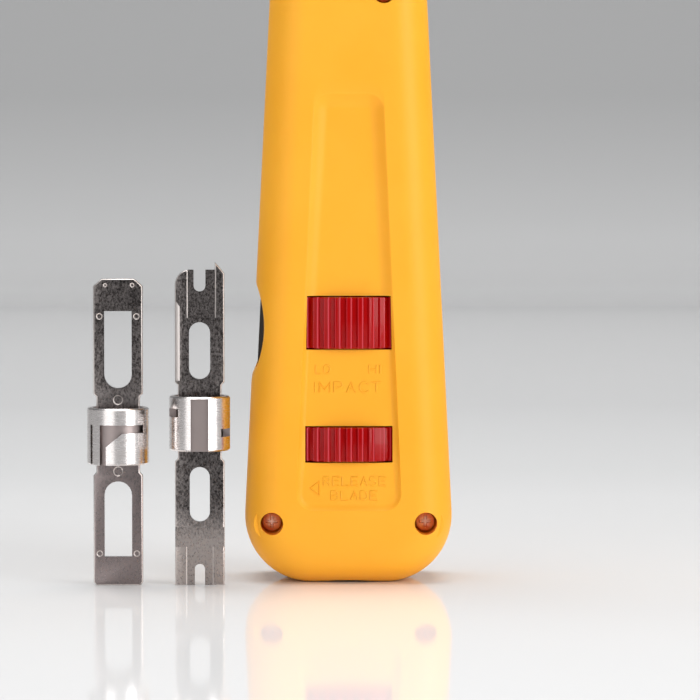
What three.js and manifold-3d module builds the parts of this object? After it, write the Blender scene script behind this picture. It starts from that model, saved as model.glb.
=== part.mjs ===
// An impact punch down tool for telephone and network wiring blocks, standing on its blade end,
// with its two double-ended blades standing beside it. Millimetres, +Z up, front towards -Y.
// Pressing the tool down drives the blade holder up into the handle, which lifts the hammer
// against the main spring until the trip plate lets it go. One red wheel sets how hard it
// strikes, the other turns the lock sleeve that lets the blade out.

import * as THREE from "three";
import { mergeVertices } from "three/addons/utils/BufferGeometryUtils.js";
import Module from "manifold-3d";

const wasm = await Module();
wasm.setup();

// ---- Driving dimensions ----

// General clearances and finish
const joint = 0.3; // gap left between pieces that touch or run on each other
const past = 2; // how far a cutter runs past the face it cuts
const roundSides = 40; // sides of a turned piece
const smallSides = 16; // sides of a pin or a screw

// Handle: two mirrored shells, widest near the nose, tapering to a domed palm end
const bodyLength = 172;
const bodyWidth = 39.4;
const bodyThickness = 28.5;
const bodyTaper = 2.8; // degrees that each side leans in
const noseRadius = 12.7; // corners at the blade end
const palmRadius = 9.5; // corners at the palm end
const edgeRadius = 7; // rounded edge between a side and the front or back
const wall = 2.4;

// Sunk panel on the front and on the back
const panelBottom = 14;
const panelTop = 92.9;
const panelHalfWidth = 10.7; // of its side line, carried down to the nose
const panelTaper = 2.55; // degrees
const panelCorner = 3.2;
const panelBand = 1.6; // width of the sloping edge
const panelDepth = 0.75; // at its lower end
const panelLean = 0.55; // degrees, so that it is deeper towards the palm

// Wheels
const wheelProud = 1.05; // how far a wheel stands out of the handle's front and back
const fluteCount = 44;
const fluteDepth = 0.55;
const windowHalfWidth = 8.07;
const impactWheelBottom = 44.9;
const impactWheelHeight = 9.3;
const releaseWheelBottom = 23.5;
const releaseWheelHeight = 6.1;
const impactHubWall = 1.2; // of the hub rings that stand on both faces of a wheel
const releaseHubWall = 2.1;
const hubRise = 1.2;

// Finger scoop in the left side
const scoopMiddle = 48.8;
const scoopDepth = 1.9;
const scoopRadius = 22.3;

// Blade holder and its lock
const collarRadius = 5.84; // of the blades
const socketDepth = 12; // the wide mouth that takes a blade's collar
const socketGap = 0.2; // round a collar in its socket
const bladeGap = 0.44; // at each side of a blade above the socket
const holderWall = 0.96;
const holderBottom = 1.5;
const holderTop = 41;
const holderCrown = 3.4; // thickness of the closed end
const stemRadius = 3;
const stemHeight = 5.4;
const sleeveWall = 1.4;
const sleeveBottom = 6.5;
const sleeveTop = 33;
const keyWidth = 2.4;
const keyDepth = 0.8;
const lockPinRadius = 0.9;
const lockPinHeight = 9.5; // above the foot of the tool
const lockPinReach = 0.6; // how far a pin stands into the collar's groove
const releaseTurn = 30; // degrees

// Nose
const mouthGap = 0.75; // round the blade holder at the coned mouth's small end
const mouthCone = 2.25; // how much wider the mouth is where it meets the foot
const nosePlateTop = 6.4;
const bushingHeight = 2.5;
const bufferHeight = 0.8;

// Hammer, trip and main spring
const stroke = 11;
const hammerStep = 0.5; // how much wider than the blade holder the hammer is
const hammerHeight = 21.5;
const tripPlateThickness = 2;
const tripPlateWidth = 8;
const tripTravel = 0.9;
const camRingWall = 1.6;
const guideWall = 1.1;
const guideRise = 3.3; // from the impact wheel up to the guide tube
const springWire = 0.8; // radius
const springRadius = 5.5;
const springTurns = 8;
const springLength = 26.8;
const seatHeight = 3.2;
const ribThickness = 3;

// Spare-blade tray in the left side, hinged near the palm end
const trayRecess = 1; // its face lies this far below the side of the handle
const trayThickness = 1.1;
const trayGap = 0.16; // at each side of a stored blade's collar
const trayWall = 0.8;
const trayBottom = 40.5;
const trayTopGap = 9.5; // from its upper end to the palm end
const storedProud = 0.09; // how far a stored collar stands out of the trough's open edge
const trayHingeDrop = 6.5; // from its upper end down to the hinge
const trayHingeInset = 4.5; // from the handle's side in to the hinge
const trayPinRadius = 1;
const trayPinLength = 3.3;

// Screws
const screwLowInset = 5.1; // from the widest side
const screwLowZ = 11.5;
const screwMiddleZ = 112;
const screwMiddleGap = 1.9; // from the tray's trough to the screw's boss
const screwPalmDrop = 5; // from the palm end
const screwHead = 1.75;
const screwHeadGap = 0.4;
const screwHeadHeight = 1.5;
const screwShank = 1;
const screwSink = 5.6; // from the front face down to the head
const screwLength = 16;
const bossWall = 1.25;

// Blades
const bladeThickness = 1.3;
const neckGap = 0.44; // from a blade's neck to the inside of its collar
const bladeShoulder = 0.56; // from the neck out to the blade's edge
const collarWall = 1.3;
const bladeStand = 8.5; // from the handle's widest side to the nearer blade's axis
const bladePitch = 15.4; // between the two blades' axes
const bladeRowGap = 1.36; // between the blades' collars and the path of the swinging tray
const blade66Length = 58;
const blade66Collar = [23, 33.7];
const blade110Length = 61.1;
const blade110Collar = [25.6, 35.9];

// ---- Materials ----

function finish(color, roughness, metalness) {
  return new THREE.MeshStandardMaterial({ color, roughness, metalness });
}
const yellowPlastic = finish(0xfcb647, 0.42, 0);
const redPlastic = finish(0xa00a10, 0.35, 0);
const blackPlastic = finish(0x1b1b1d, 0.5, 0);
const rubber = finish(0x222222, 0.9, 0);
const toolSteel = finish(0x9a9893, 0.35, 1);
const darkSteel = finish(0x55524f, 0.45, 1);
const springSteel = finish(0xb5b2ab, 0.3, 1);
const bladeSteel = finish(0x8b8480, 0.4, 1);
const collarSteel = finish(0xc9c2bb, 0.35, 1);
const screwSteel = finish(0xc78a6a, 0.35, 1);

// ---- Solids ----

const radians = THREE.MathUtils.degToRad;
const X = new THREE.Vector3(1, 0, 0);
const Y = new THREE.Vector3(0, 1, 0);
const Z = new THREE.Vector3(0, 0, 1);
const alongX = new THREE.Matrix4().makeBasis(Y, Z, X);
const alongY = new THREE.Matrix4().makeBasis(X, Z, Y.clone().negate());

// A closed three.js geometry as a solid that can be joined and cut.
function solid(geometry) {
  geometry.deleteAttribute("normal");
  geometry.deleteAttribute("uv");
  const merged = mergeVertices(geometry, 1e-4);
  return new wasm.Manifold(
    new wasm.Mesh({
      numProp: 3,
      vertProperties: merged.attributes.position.array,
      triVerts: new Uint32Array(merged.index.array),
    }),
  );
}

// A solid as a named mesh in a group.
function place(group, name, shape, material) {
  const data = shape.getMesh();
  const geometry = new THREE.BufferGeometry();
  geometry.setAttribute("position", new THREE.BufferAttribute(data.vertProperties, 3));
  geometry.setIndex(new THREE.BufferAttribute(data.triVerts, 1));
  const mesh = new THREE.Mesh(geometry, material);
  mesh.name = name;
  group.add(mesh);
  return mesh;
}

function extrude(shape, depth, options = {}) {
  return new THREE.ExtrudeGeometry(shape, { depth, bevelEnabled: false, ...options });
}

// An outline in X and Y, raised from z0 to z1.
function prismZ(shape, z0, z1, curveSegments = 12) {
  return solid(extrude(shape, z1 - z0, { curveSegments }).translate(0, 0, z0));
}

// An outline in X and Z, carried from y0 to y1.
function prismY(shape, y0, y1, curveSegments = 8) {
  const geometry = extrude(shape, y1 - y0, { curveSegments });
  return solid(geometry.applyMatrix4(alongY).translate(0, y1, 0));
}

// An outline in Y and Z, carried from x0 to x1.
function prismX(shape, x0, x1, curveSegments = 8) {
  const geometry = extrude(shape, x1 - x0, { curveSegments });
  return solid(geometry.applyMatrix4(alongX).translate(x0, 0, 0));
}

function box(x0, x1, y0, y1, z0, z1) {
  const geometry = new THREE.BoxGeometry(x1 - x0, y1 - y0, z1 - z0);
  return solid(geometry.translate((x0 + x1) / 2, (y0 + y1) / 2, (z0 + z1) / 2));
}

function rod(radius, z0, z1, sides = roundSides) {
  const geometry = new THREE.CylinderGeometry(radius, radius, z1 - z0, sides);
  return solid(geometry.rotateX(Math.PI / 2).translate(0, 0, (z0 + z1) / 2));
}

function rodY(radius, x, z, y0, y1, sides = smallSides) {
  const geometry = new THREE.CylinderGeometry(radius, radius, y1 - y0, sides);
  return solid(geometry.translate(x, (y0 + y1) / 2, z));
}

function rodX(radius, x0, x1, y, z, sides = smallSides) {
  const geometry = new THREE.CylinderGeometry(radius, radius, x1 - x0, sides);
  return solid(geometry.rotateZ(Math.PI / 2).translate((x0 + x1) / 2, y, z));
}

function tube(outer, inner, z0, z1, sides = roundSides) {
  return rod(outer, z0, z1, sides).subtract(rod(inner, z0 - past, z1 + past, sides));
}

// A closed polygon through the given points.
function polygon(points) {
  return new THREE.Shape(points.map(([a, b]) => new THREE.Vector2(a, b)));
}

// A coil of round wire, wound about the Z axis at the origin, from z0 to z1.
class Helix extends THREE.Curve {
  constructor(radius, turns, z0, z1) {
    super();
    Object.assign(this, { radius, turns, z0, z1 });
  }
  getPoint(t, target = new THREE.Vector3()) {
    const angle = 2 * Math.PI * this.turns * t;
    const height = THREE.MathUtils.lerp(this.z0, this.z1, t);
    return target.set(this.radius * Math.cos(angle), this.radius * Math.sin(angle), height);
  }
}

function coil(radius, wire, turns, z0, z1, stepsPerTurn = 12) {
  const section = new THREE.Shape().absarc(0, 0, wire, 0, 2 * Math.PI);
  const options = {
    curveSegments: 3,
    steps: Math.ceil(turns * stepsPerTurn),
    extrudePath: new Helix(radius, turns, z0 + wire, z1 - wire),
  };
  return new THREE.ExtrudeGeometry(section, options);
}

// An outline that narrows upwards between z0 and z1, with round corners. Its straight sides lie
// at the distance reach from the origin and lean in by lean radians. inset shrinks it evenly.
function taperedOutline(z0, z1, reach, lean, lowRadius, highRadius, inset = 0) {
  const centre = (z, radius) => (reach - radius - z * Math.sin(lean)) / Math.cos(lean);
  const low = z0 + lowRadius;
  const high = z1 - highRadius;
  const lowX = centre(low, lowRadius);
  const highX = centre(high, highRadius);
  const down = -Math.PI / 2;
  const shape = new THREE.Shape();
  shape.absarc(lowX, low, lowRadius - inset, down, lean);
  shape.absarc(highX, high, highRadius - inset, lean, Math.PI / 2);
  shape.absarc(-highX, high, highRadius - inset, Math.PI / 2, Math.PI - lean);
  shape.absarc(-lowX, low, lowRadius - inset, Math.PI - lean, Math.PI - down);
  return shape;
}

// ---- What the pieces share ----

const lean = radians(bodyTaper);
const halfThickness = bodyThickness / 2;
const noseCentre = bodyWidth / 2 - noseRadius;
const sideReach = noseCentre * Math.cos(lean) + noseRadius * Math.sin(lean) + noseRadius;
// Half the handle's width at a height on its straight sides.
const sideAt = (z) => (sideReach - z * Math.sin(lean)) / Math.cos(lean);

const wheelRadius = halfThickness + wheelProud;
const socketRadius = collarRadius + socketGap;
const holderRadius = socketRadius + holderWall;
const bladeNeck = collarRadius - collarWall - neckGap; // half-width inside the collar
const bladeHalfWidth = bladeNeck + bladeShoulder;
const bladeBore = bladeHalfWidth + bladeGap;
const mouthHole = holderRadius + mouthGap;
const mouthRadius = mouthHole + mouthCone; // where the cone meets the foot
const hammerRadius = holderRadius + hammerStep;
const sleeveBore = holderRadius + 0.2;
const sleeveRadius = sleeveBore + sleeveWall;
const sleevePassage = sleeveRadius + joint; // radius of every hole that the sleeve runs through
const wheelPocket = wheelRadius + joint;
const hammerBottom = holderTop + 0.5;
const hammerTop = hammerBottom + hammerHeight;
const hammerPassage = hammerRadius + 0.2;
const guideRadius = hammerPassage + guideWall;
const springBottom = hammerTop + joint;
const springTop = springBottom + springLength;
const seatTop = springTop + joint + seatHeight;
const guideTop = seatTop + joint;
const endRibBottom = guideTop + joint;
const endRibTop = endRibBottom + 2;
const impactWheelTop = impactWheelBottom + impactWheelHeight;
const guideBottom = impactWheelTop + guideRise;
const releaseWheelTop = releaseWheelBottom + releaseWheelHeight;
const releaseSpringTop = releaseWheelTop + hubRise + joint + 3;
const tripBottom = holderTop + stemHeight + joint;
const tripTop = tripBottom + tripPlateThickness;
const troughBottom = endRibTop + 1.5;
const trayHalfWidth = collarRadius + trayGap + trayWall;
const channelHalfWidth = trayHalfWidth + joint;
const sideFlat = halfThickness - edgeRadius; // half-width of the flat strip along each side
const channelDepth = wall + 0.05 + Math.max(0, channelHalfWidth - sideFlat);
const trayTop = bodyLength - trayTopGap;
const trayHingeHeight = trayTop - trayHingeDrop;
const trayHingeX = trayHingeInset - sideAt(trayHingeHeight);
const trayInner = trayRecess + trayThickness;
const pocketInner = trayInner - sideAt(trayTop) + 2 * collarRadius - storedProud;

const camRingBore = hammerPassage + 0.2;
const camRingRadius = camRingBore + camRingWall;
const impactHub = camRingRadius + joint + impactHubWall;
const releaseHub = sleevePassage + releaseHubWall;

const screwHole = screwHead + screwHeadGap;
const bossRadius = screwHole + bossWall;
const screwLowX = bodyWidth / 2 - screwLowInset;
const screwMiddleX = pocketInner + screwMiddleGap + bossRadius;

const blade110X = -(bodyWidth / 2 + bladeStand);
const blade66X = blade110X - bladePitch;
const bladeRowY = -(trayHalfWidth + collarRadius + bladeRowGap);

// Where the whole set stands: the origin is the middle of its footprint
const toolX = (-blade66X + collarRadius - bodyWidth / 2) / 2;
const toolY = (-bladeRowY + collarRadius - wheelRadius) / 2;

const tool = new THREE.Group();
tool.position.set(toolX, toolY, 0);

// ---- Handle shells ----

const lowScrews = [-screwLowX, screwLowX].map((x) => [x, screwLowZ]);
const screws = [...lowScrews, [screwMiddleX, screwMiddleZ], [0, bodyLength - screwPalmDrop]];

function handleSolid(inset) {
  const outline = taperedOutline(0, bodyLength, sideReach, lean, noseRadius, palmRadius, inset);
  const bevel = edgeRadius - inset;
  const depth = bodyThickness - 2 * edgeRadius;
  const options = {
    curveSegments: 6,
    bevelEnabled: true,
    bevelThickness: bevel,
    bevelSize: bevel,
    bevelOffset: -bevel,
    bevelSegments: 3,
  };
  return solid(extrude(outline, depth, options).applyMatrix4(alongY).translate(0, depth / 2, 0));
}

// A sunk panel's cutter for the front: its small end is the panel's floor.
function panelCutter() {
  const slant = radians(panelTaper);
  const reach = panelHalfWidth * Math.cos(slant);
  const outline = taperedOutline(panelBottom, panelTop, reach, slant, panelCorner, panelCorner);
  const options = {
    curveSegments: 5,
    bevelEnabled: true,
    bevelThickness: panelDepth,
    bevelSize: panelBand,
    bevelOffset: -panelBand,
    bevelSegments: 1,
  };
  const geometry = extrude(outline, past, options).applyMatrix4(alongY);
  geometry.translate(0, -halfThickness, -panelBottom).rotateX(-radians(panelLean));
  return solid(geometry.translate(0, 0, panelBottom));
}

// Cutters for one wheel: the round pocket, the hub's seat above and below, and the windows.
function wheelRoom(bottom, top, hubRadius) {
  const pocket = rod(wheelPocket, bottom - joint, top + joint, 48);
  const hub = rod(hubRadius + joint, bottom - hubRise - joint, top + hubRise + joint);
  const window = box(
    -windowHalfWidth,
    windowHalfWidth,
    -halfThickness - past,
    halfThickness + past,
    bottom - joint,
    top + joint,
  );
  return pocket.add(hub).add(window);
}

// A plate across the inside of the handle with a round hole for the mechanism.
function rib(z0, z1, hole) {
  const wide = bodyWidth;
  const plate = box(-wide, wide, -wide, wide, z0, z1);
  return hole > 0 ? plate.subtract(rod(hole, z0 - past, z1 + past)) : plate;
}

// The strip of the left side that the tray's face fills, at a depth below the side.
function sideStrip(depthOut, depthIn, z0, z1, halfWidth) {
  const points = [
    [-sideAt(z0) + depthOut, z0],
    [-sideAt(z0) + depthIn, z0],
    [-sideAt(z1) + depthIn, z1],
    [-sideAt(z1) + depthOut, z1],
  ];
  return prismY(polygon(points), -halfWidth, halfWidth);
}

// Both shells before they are parted at the seam.
function wholeHandle() {
  const deep = halfThickness + past;
  let core = handleSolid(wall);
  const ribs = [
    rib(0, nosePlateTop, 0),
    rib(releaseWheelBottom - hubRise - ribThickness, releaseWheelBottom, sleevePassage),
    rib(releaseWheelTop, releaseSpringTop + ribThickness, sleevePassage),
    rib(impactWheelBottom - hubRise - ribThickness, impactWheelBottom, sleevePassage),
    rib(impactWheelTop, guideBottom + ribThickness, hammerPassage),
    rib(springTop - ribThickness, springTop, guideRadius + joint),
    rib(endRibBottom, endRibTop, 0),
  ];
  ribs.forEach((plate) => (core = core.subtract(plate)));
  screws.forEach(([x, z]) => (core = core.subtract(rodY(bossRadius, x, z, -deep, deep, 20))));
  const bearings = [
    [channelHalfWidth, deep],
    [-deep, -channelHalfWidth],
  ];
  bearings.forEach(([y0, y1]) => {
    const boss = rodY(trayPinRadius + 2, trayHingeX, trayHingeHeight, y0, y1);
    core = core.subtract(boss);
  });

  const mouth = new THREE.CylinderGeometry(mouthRadius - past, mouthRadius + past, 2 * past, 40);
  const panel = panelCutter();
  const cuts = [
    core,
    solid(mouth.rotateX(Math.PI / 2)),
    rod(mouthHole, -past, nosePlateTop + past),
    rod(sleevePassage, mouthRadius - mouthHole + joint, nosePlateTop + past),
    wheelRoom(releaseWheelBottom, releaseWheelTop, releaseHub),
    rod(releaseHub + joint, releaseWheelTop, releaseSpringTop),
    wheelRoom(impactWheelBottom, impactWheelTop, impactHub),
    rod(guideRadius + joint, guideBottom - joint, guideTop + joint),
    panel,
    panel.mirror([0, 1, 0]),
    rodY(
      scoopRadius,
      -sideAt(scoopMiddle) + scoopDepth - scoopRadius,
      scoopMiddle,
      -deep,
      deep,
      72,
    ),
    sideStrip(-past, channelDepth, trayBottom - joint, trayTop + 3 * joint, channelHalfWidth),
    detentPocket(),
  ];
  [-1, 1].forEach((side) => {
    const y = side * (channelHalfWidth + trayPinLength / 2);
    const half = trayPinLength / 2 + joint;
    cuts.push(rodY(trayPinRadius + joint, trayHingeX, trayHingeHeight, y - half, y + half));
  });
  screws.forEach(([x, z]) => {
    const head = -halfThickness + screwSink + screwHeadHeight + joint;
    cuts.push(rodY(screwHole, x, z, -deep, head, 20));
    cuts.push(rodY(screwShank + joint, x, z, head - past, head + screwLength, 12));
  });
  return cuts.reduce((body, cut) => body.subtract(cut), handleSolid(0));
}

// ---- Click stop of the impact wheel: a ball held down by a small spring ----

const detentRadius = 1.5;
const detentReach = impactHub + 0.1 + detentRadius; // from the tool's axis
const detentAngle = radians(45);
const detentX = detentReach * Math.cos(detentAngle);
const detentY = detentReach * Math.sin(detentAngle);
const detentBallZ = impactWheelTop + 0.1 + detentRadius;
const detentSpringTop = guideBottom + ribThickness - 0.6;

function detentPocket() {
  const pocket = rod(detentRadius + joint, impactWheelTop, detentSpringTop + joint, smallSides);
  return pocket.translate([detentX, detentY, 0]);
}

const handle = wholeHandle();
const farSide = 3 * bodyLength;
const frontHalf = box(-farSide, farSide, -farSide, -joint / 2, -farSide, farSide);
const rearHalf = box(-farSide, farSide, joint / 2, farSide, -farSide, farSide);
place(tool, "front_shell", handle.intersect(frontHalf), yellowPlastic);
place(tool, "rear_shell", handle.intersect(rearHalf), yellowPlastic);

const ball = solid(new THREE.SphereGeometry(detentRadius, 16, 10));
place(tool, "detent_ball", ball.translate([detentX, detentY, detentBallZ]), springSteel);
const detentCoil = coil(1, 0.25, 4, detentBallZ + detentRadius + 0.1, detentSpringTop, 8);
place(tool, "detent_spring", solid(detentCoil).translate([detentX, detentY, 0]), springSteel);

// ---- Screws ----

function screw(x, z) {
  const top = -halfThickness + screwSink;
  const head = rodY(screwHead, x, z, top, top + screwHeadHeight, 20);
  const shank = rodY(screwShank, x, z, top, top + screwLength, 12);
  const slot = (w, h) => box(x - w, x + w, top - past, top + 0.7, z - h, z + h);
  return head.add(shank).subtract(slot(1.1, 0.22)).subtract(slot(0.22, 1.1));
}
const screwNames = ["screw_lower_left", "screw_lower_right", "screw_middle", "screw_palm"];
screws.forEach(([x, z], i) => place(tool, screwNames[i], screw(x, z), screwSteel));

// ---- Wheels ----

// A disc whose rim is cut by shallow round flutes that leave sharp ridges between them.
function flutedOutline(hole) {
  const shape = new THREE.Shape();
  const pitch = (2 * Math.PI) / fluteCount;
  const steps = 3;
  for (let i = 0; i < fluteCount * steps; i++) {
    const t = (i % steps) / steps;
    const radius = wheelRadius - fluteDepth * Math.sin(Math.PI * t);
    const angle = (i / steps) * pitch;
    const move = i ? "lineTo" : "moveTo";
    shape[move](radius * Math.cos(angle), radius * Math.sin(angle));
  }
  shape.closePath();
  shape.holes.push(new THREE.Path().absarc(0, 0, hole, 0, 2 * Math.PI));
  return shape;
}

function wheel(bottom, top, hole, hubRadius) {
  const rim = prismZ(flutedOutline(hole), bottom, top, 20);
  return rim.add(tube(hubRadius, hole, bottom - hubRise, top + hubRise));
}

const impactHole = camRingRadius + joint;
const impactWheel = wheel(impactWheelBottom, impactWheelTop, impactHole, impactHub);
place(tool, "impact_wheel", impactWheel, redPlastic);

// The cam ring's bore steps in over half a turn, which moves the point where the plate trips.
function camRing() {
  const ring = tube(camRingRadius, camRingBore, impactWheelBottom, impactWheelTop);
  const step = new THREE.Shape();
  step.absarc(0, 0, camRingRadius - 0.5, 0, Math.PI);
  const middle = (impactWheelBottom + impactWheelTop) / 2;
  return ring.subtract(prismZ(step, impactWheelBottom - past, middle));
}
place(tool, "trip_cam_ring", camRing(), darkSteel);

// Two keys inside the release wheel slide in grooves of the lock sleeve.
function releaseWheel() {
  let body = wheel(releaseWheelBottom, releaseWheelTop, sleevePassage, releaseHub);
  const tip = sleeveRadius - keyDepth + joint;
  const deep = sleevePassage + 1;
  const low = releaseWheelBottom - hubRise;
  const high = releaseWheelTop + hubRise;
  const half = keyWidth / 2;
  body = body.add(box(-half, half, tip, deep, low, high));
  return body.add(box(-half, half, -deep, -tip, low, high));
}
place(tool, "release_wheel", releaseWheel(), redPlastic);
const returnRadius = sleevePassage + 1.1;
const returnBottom = releaseWheelTop + hubRise + joint;
const returnCoil = coil(returnRadius, 0.4, 2.6, returnBottom, releaseSpringTop - joint);
place(tool, "release_spring", solid(returnCoil), springSteel);

// ---- Blade holder, lock sleeve and pins ----

// A piece of a ring between two angles, in degrees.
function ringSector(outer, inner, from, to, z0, z1) {
  const shape = new THREE.Shape();
  shape.absarc(0, 0, outer, radians(from), radians(to));
  shape.absarc(0, 0, inner, radians(to), radians(from), true);
  return prismZ(shape, z0, z1, 8);
}

function bladeHolder() {
  let body = rod(holderRadius, holderBottom, holderTop);
  body = body.add(rod(stemRadius, holderTop - 1, holderTop + stemHeight, 24));
  body = body.subtract(rod(socketRadius, 0, holderBottom + socketDepth));
  body = body.subtract(rod(bladeBore, 0, holderTop - holderCrown));
  const spare = 12; // degrees of window beyond the lock's travel
  const low = lockPinHeight - lockPinRadius - joint;
  const high = lockPinHeight + lockPinRadius + joint;
  [0, 180].forEach((side) => {
    const from = side - releaseTurn - spare;
    const window = ringSector(holderRadius + 1, bladeBore, from, side + spare, low, high);
    body = body.subtract(window);
  });
  return body;
}
place(tool, "blade_holder", bladeHolder(), toolSteel);

function lockSleeve() {
  let body = tube(sleeveRadius, sleeveBore, sleeveBottom, sleeveTop);
  const half = keyWidth / 2 + joint;
  const floor = sleeveRadius - keyDepth;
  const low = releaseWheelBottom - hubRise - stroke - 1;
  [1, -1].forEach((side) => {
    const y = [side * floor, side * (sleeveRadius + 1)].sort((a, b) => a - b);
    body = body.subtract(box(-half, half, y[0], y[1], low, sleeveTop + past));
  });
  const hole = lockPinRadius + joint;
  return body.subtract(rodX(hole, -sleeveRadius - 1, sleeveRadius + 1, 0, lockPinHeight));
}
place(tool, "lock_sleeve", lockSleeve(), darkSteel);
const pinTip = collarRadius - lockPinReach;
const pinEnd = sleeveRadius - 0.1;
const lockPin = (from, to) => rodX(lockPinRadius, from, to, 0, lockPinHeight);
place(tool, "lock_pin_left", lockPin(-pinEnd, -pinTip), springSteel);
place(tool, "lock_pin_right", lockPin(pinTip, pinEnd), springSteel);

// ---- Nose bushing and buffer ----

const bushingBottom = mouthRadius - mouthHole + 2 * joint;
const bufferBottom = sleeveBottom - joint - bufferHeight;
const bushing = tube(sleeveRadius, sleeveBore, bushingBottom, bushingBottom + bushingHeight);
place(tool, "nose_bushing", bushing, toolSteel);
const buffer = tube(sleeveRadius, sleeveBore, bufferBottom, bufferBottom + bufferHeight);
place(tool, "nose_buffer", buffer, rubber);

// ---- Hammer, trip plate, springs, guide ----

const slotEnd = hammerRadius - 1.1;
const plateLeft = -slotEnd;
const plateRight = slotEnd - 2.9;

function hammer() {
  let body = rod(hammerRadius, hammerBottom, hammerTop);
  body = body.add(rod(springRadius - springWire - 0.4, hammerTop - 1, hammerTop + 4, 24));
  const bore = stemRadius + joint;
  body = body.subtract(rod(bore, hammerBottom - past, tripTop + 6, 24));
  const half = tripPlateWidth / 2 + joint;
  const low = tripBottom - joint / 2;
  const high = tripTop + joint;
  return body.subtract(box(-hammerRadius - past, slotEnd + joint, -half, half, low, high));
}
place(tool, "hammer", hammer(), toolSteel);

function tripPlate() {
  const half = tripPlateWidth / 2;
  const plate = box(plateLeft, plateRight, -half, half, tripBottom, tripTop);
  const hole = rod(stemRadius + joint, tripBottom - past, tripTop + past, 24);
  return plate.subtract(hole.translate([-tripTravel, 0, 0]));
}
place(tool, "trip_plate", tripPlate(), darkSteel);

const tripCoil = coil(0.65, 0.2, 4, plateRight + joint, slotEnd - 0.05, 8);
tripCoil.rotateY(Math.PI / 2).translate(0, 0, (tripBottom + tripTop) / 2);
place(tool, "trip_spring", solid(tripCoil), springSteel);

const mainCoil = coil(springRadius, springWire, springTurns, springBottom, springTop);
place(tool, "main_spring", solid(mainCoil), springSteel);

const guide = tube(guideRadius, hammerPassage, guideBottom, guideTop);
place(tool, "guide_tube", guide, darkSteel);

const seat = rod(hammerPassage - joint, springTop + joint, seatTop);
const seatBoss = rod(springRadius - springWire - 0.4, springTop - 3, springTop + 1, 24);
place(tool, "spring_seat", seat.add(seatBoss), blackPlastic);

// ---- Spare-blade tray ----

function storageTray() {
  const face = sideStrip(trayRecess, trayInner, trayBottom, trayTop, trayHalfWidth);
  const outline = polygon([
    [-sideAt(troughBottom) + trayRecess + 0.2, troughBottom],
    [pocketInner, troughBottom],
    [pocketInner, trayTop],
    [-sideAt(trayTop) + trayRecess + 0.2, trayTop],
  ]);
  const hollow = polygon([
    [-sideAt(troughBottom) + trayInner, troughBottom + trayWall],
    [pocketInner + past, troughBottom + trayWall],
    [pocketInner + past, trayTop - trayWall],
    [-sideAt(trayTop) + trayInner, trayTop - trayWall],
  ]);
  const room = trayHalfWidth - trayWall;
  const trough = prismY(outline, -trayHalfWidth, trayHalfWidth);
  const reach = trayHalfWidth + past;
  const bore = rodY(trayPinRadius + 0.1, trayHingeX, trayHingeHeight, -reach, reach);
  return face.add(trough.subtract(prismY(hollow, -room, room))).subtract(bore);
}
place(tool, "storage_tray", storageTray(), blackPlastic);

function trayPin(side) {
  const inner = side * (trayHalfWidth - trayWall + 0.1);
  const outer = side * (channelHalfWidth + trayPinLength - joint);
  const low = Math.min(inner, outer);
  return rodY(trayPinRadius, trayHingeX, trayHingeHeight, low, Math.max(inner, outer));
}
place(tool, "tray_pin_front", trayPin(-1), springSteel);
place(tool, "tray_pin_rear", trayPin(1), springSteel);

// ---- Blades ----

const bladeHalf = bladeThickness / 2;

// A slot outline of a given half-width, with a round lower end, an upper end that is round too
// or square, and everything between.
function slotPath(half, z0, z1, roundLow, roundHigh) {
  const path = new THREE.Path();
  path.moveTo(half, roundHigh ? z1 - half : z1);
  if (roundHigh) path.absarc(0, z1 - half, half, 0, Math.PI);
  else path.lineTo(-half, z1);
  if (roundLow) path.absarc(0, z0 + half, half, Math.PI, 2 * Math.PI);
  else path.lineTo(-half, z0).lineTo(half, z0);
  path.closePath();
  return path;
}

function collar(radius, [z0, z1]) {
  return tube(radius, radius - collarWall, z0, z1);
}

// The older, plain type: a chamfered end for cutting, a square end, two windows.
function blade66Plate() {
  const w = bladeHalfWidth;
  const n = bladeNeck;
  const top = blade66Length;
  const chamfer = 1.5;
  const [low, high] = blade66Collar;
  const neckLow = low - 1.6;
  const neckHigh = high + 2;
  const foot = 0.4;
  const outline = polygon([
    [-w + foot, 0],
    [w - foot, 0],
    [w, foot],
    [w, neckLow - (w - n)],
    [n, neckLow],
    [n, neckHigh],
    [w, neckHigh + (w - n)],
    [w, top - chamfer],
    [w - chamfer, top],
    [-w + chamfer, top],
    [-w, top - chamfer],
    [-w, neckHigh + (w - n)],
    [-n, neckHigh],
    [-n, neckLow],
    [-w, neckLow - (w - n)],
    [-w, foot],
  ]);
  const windowHalf = 2.6;
  outline.holes.push(slotPath(windowHalf, 37.3, 51.9, true, false));
  outline.holes.push(slotPath(windowHalf, 5.4, 19.7, false, true));
  return prismY(outline, -bladeHalf, bladeHalf);
}

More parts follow.
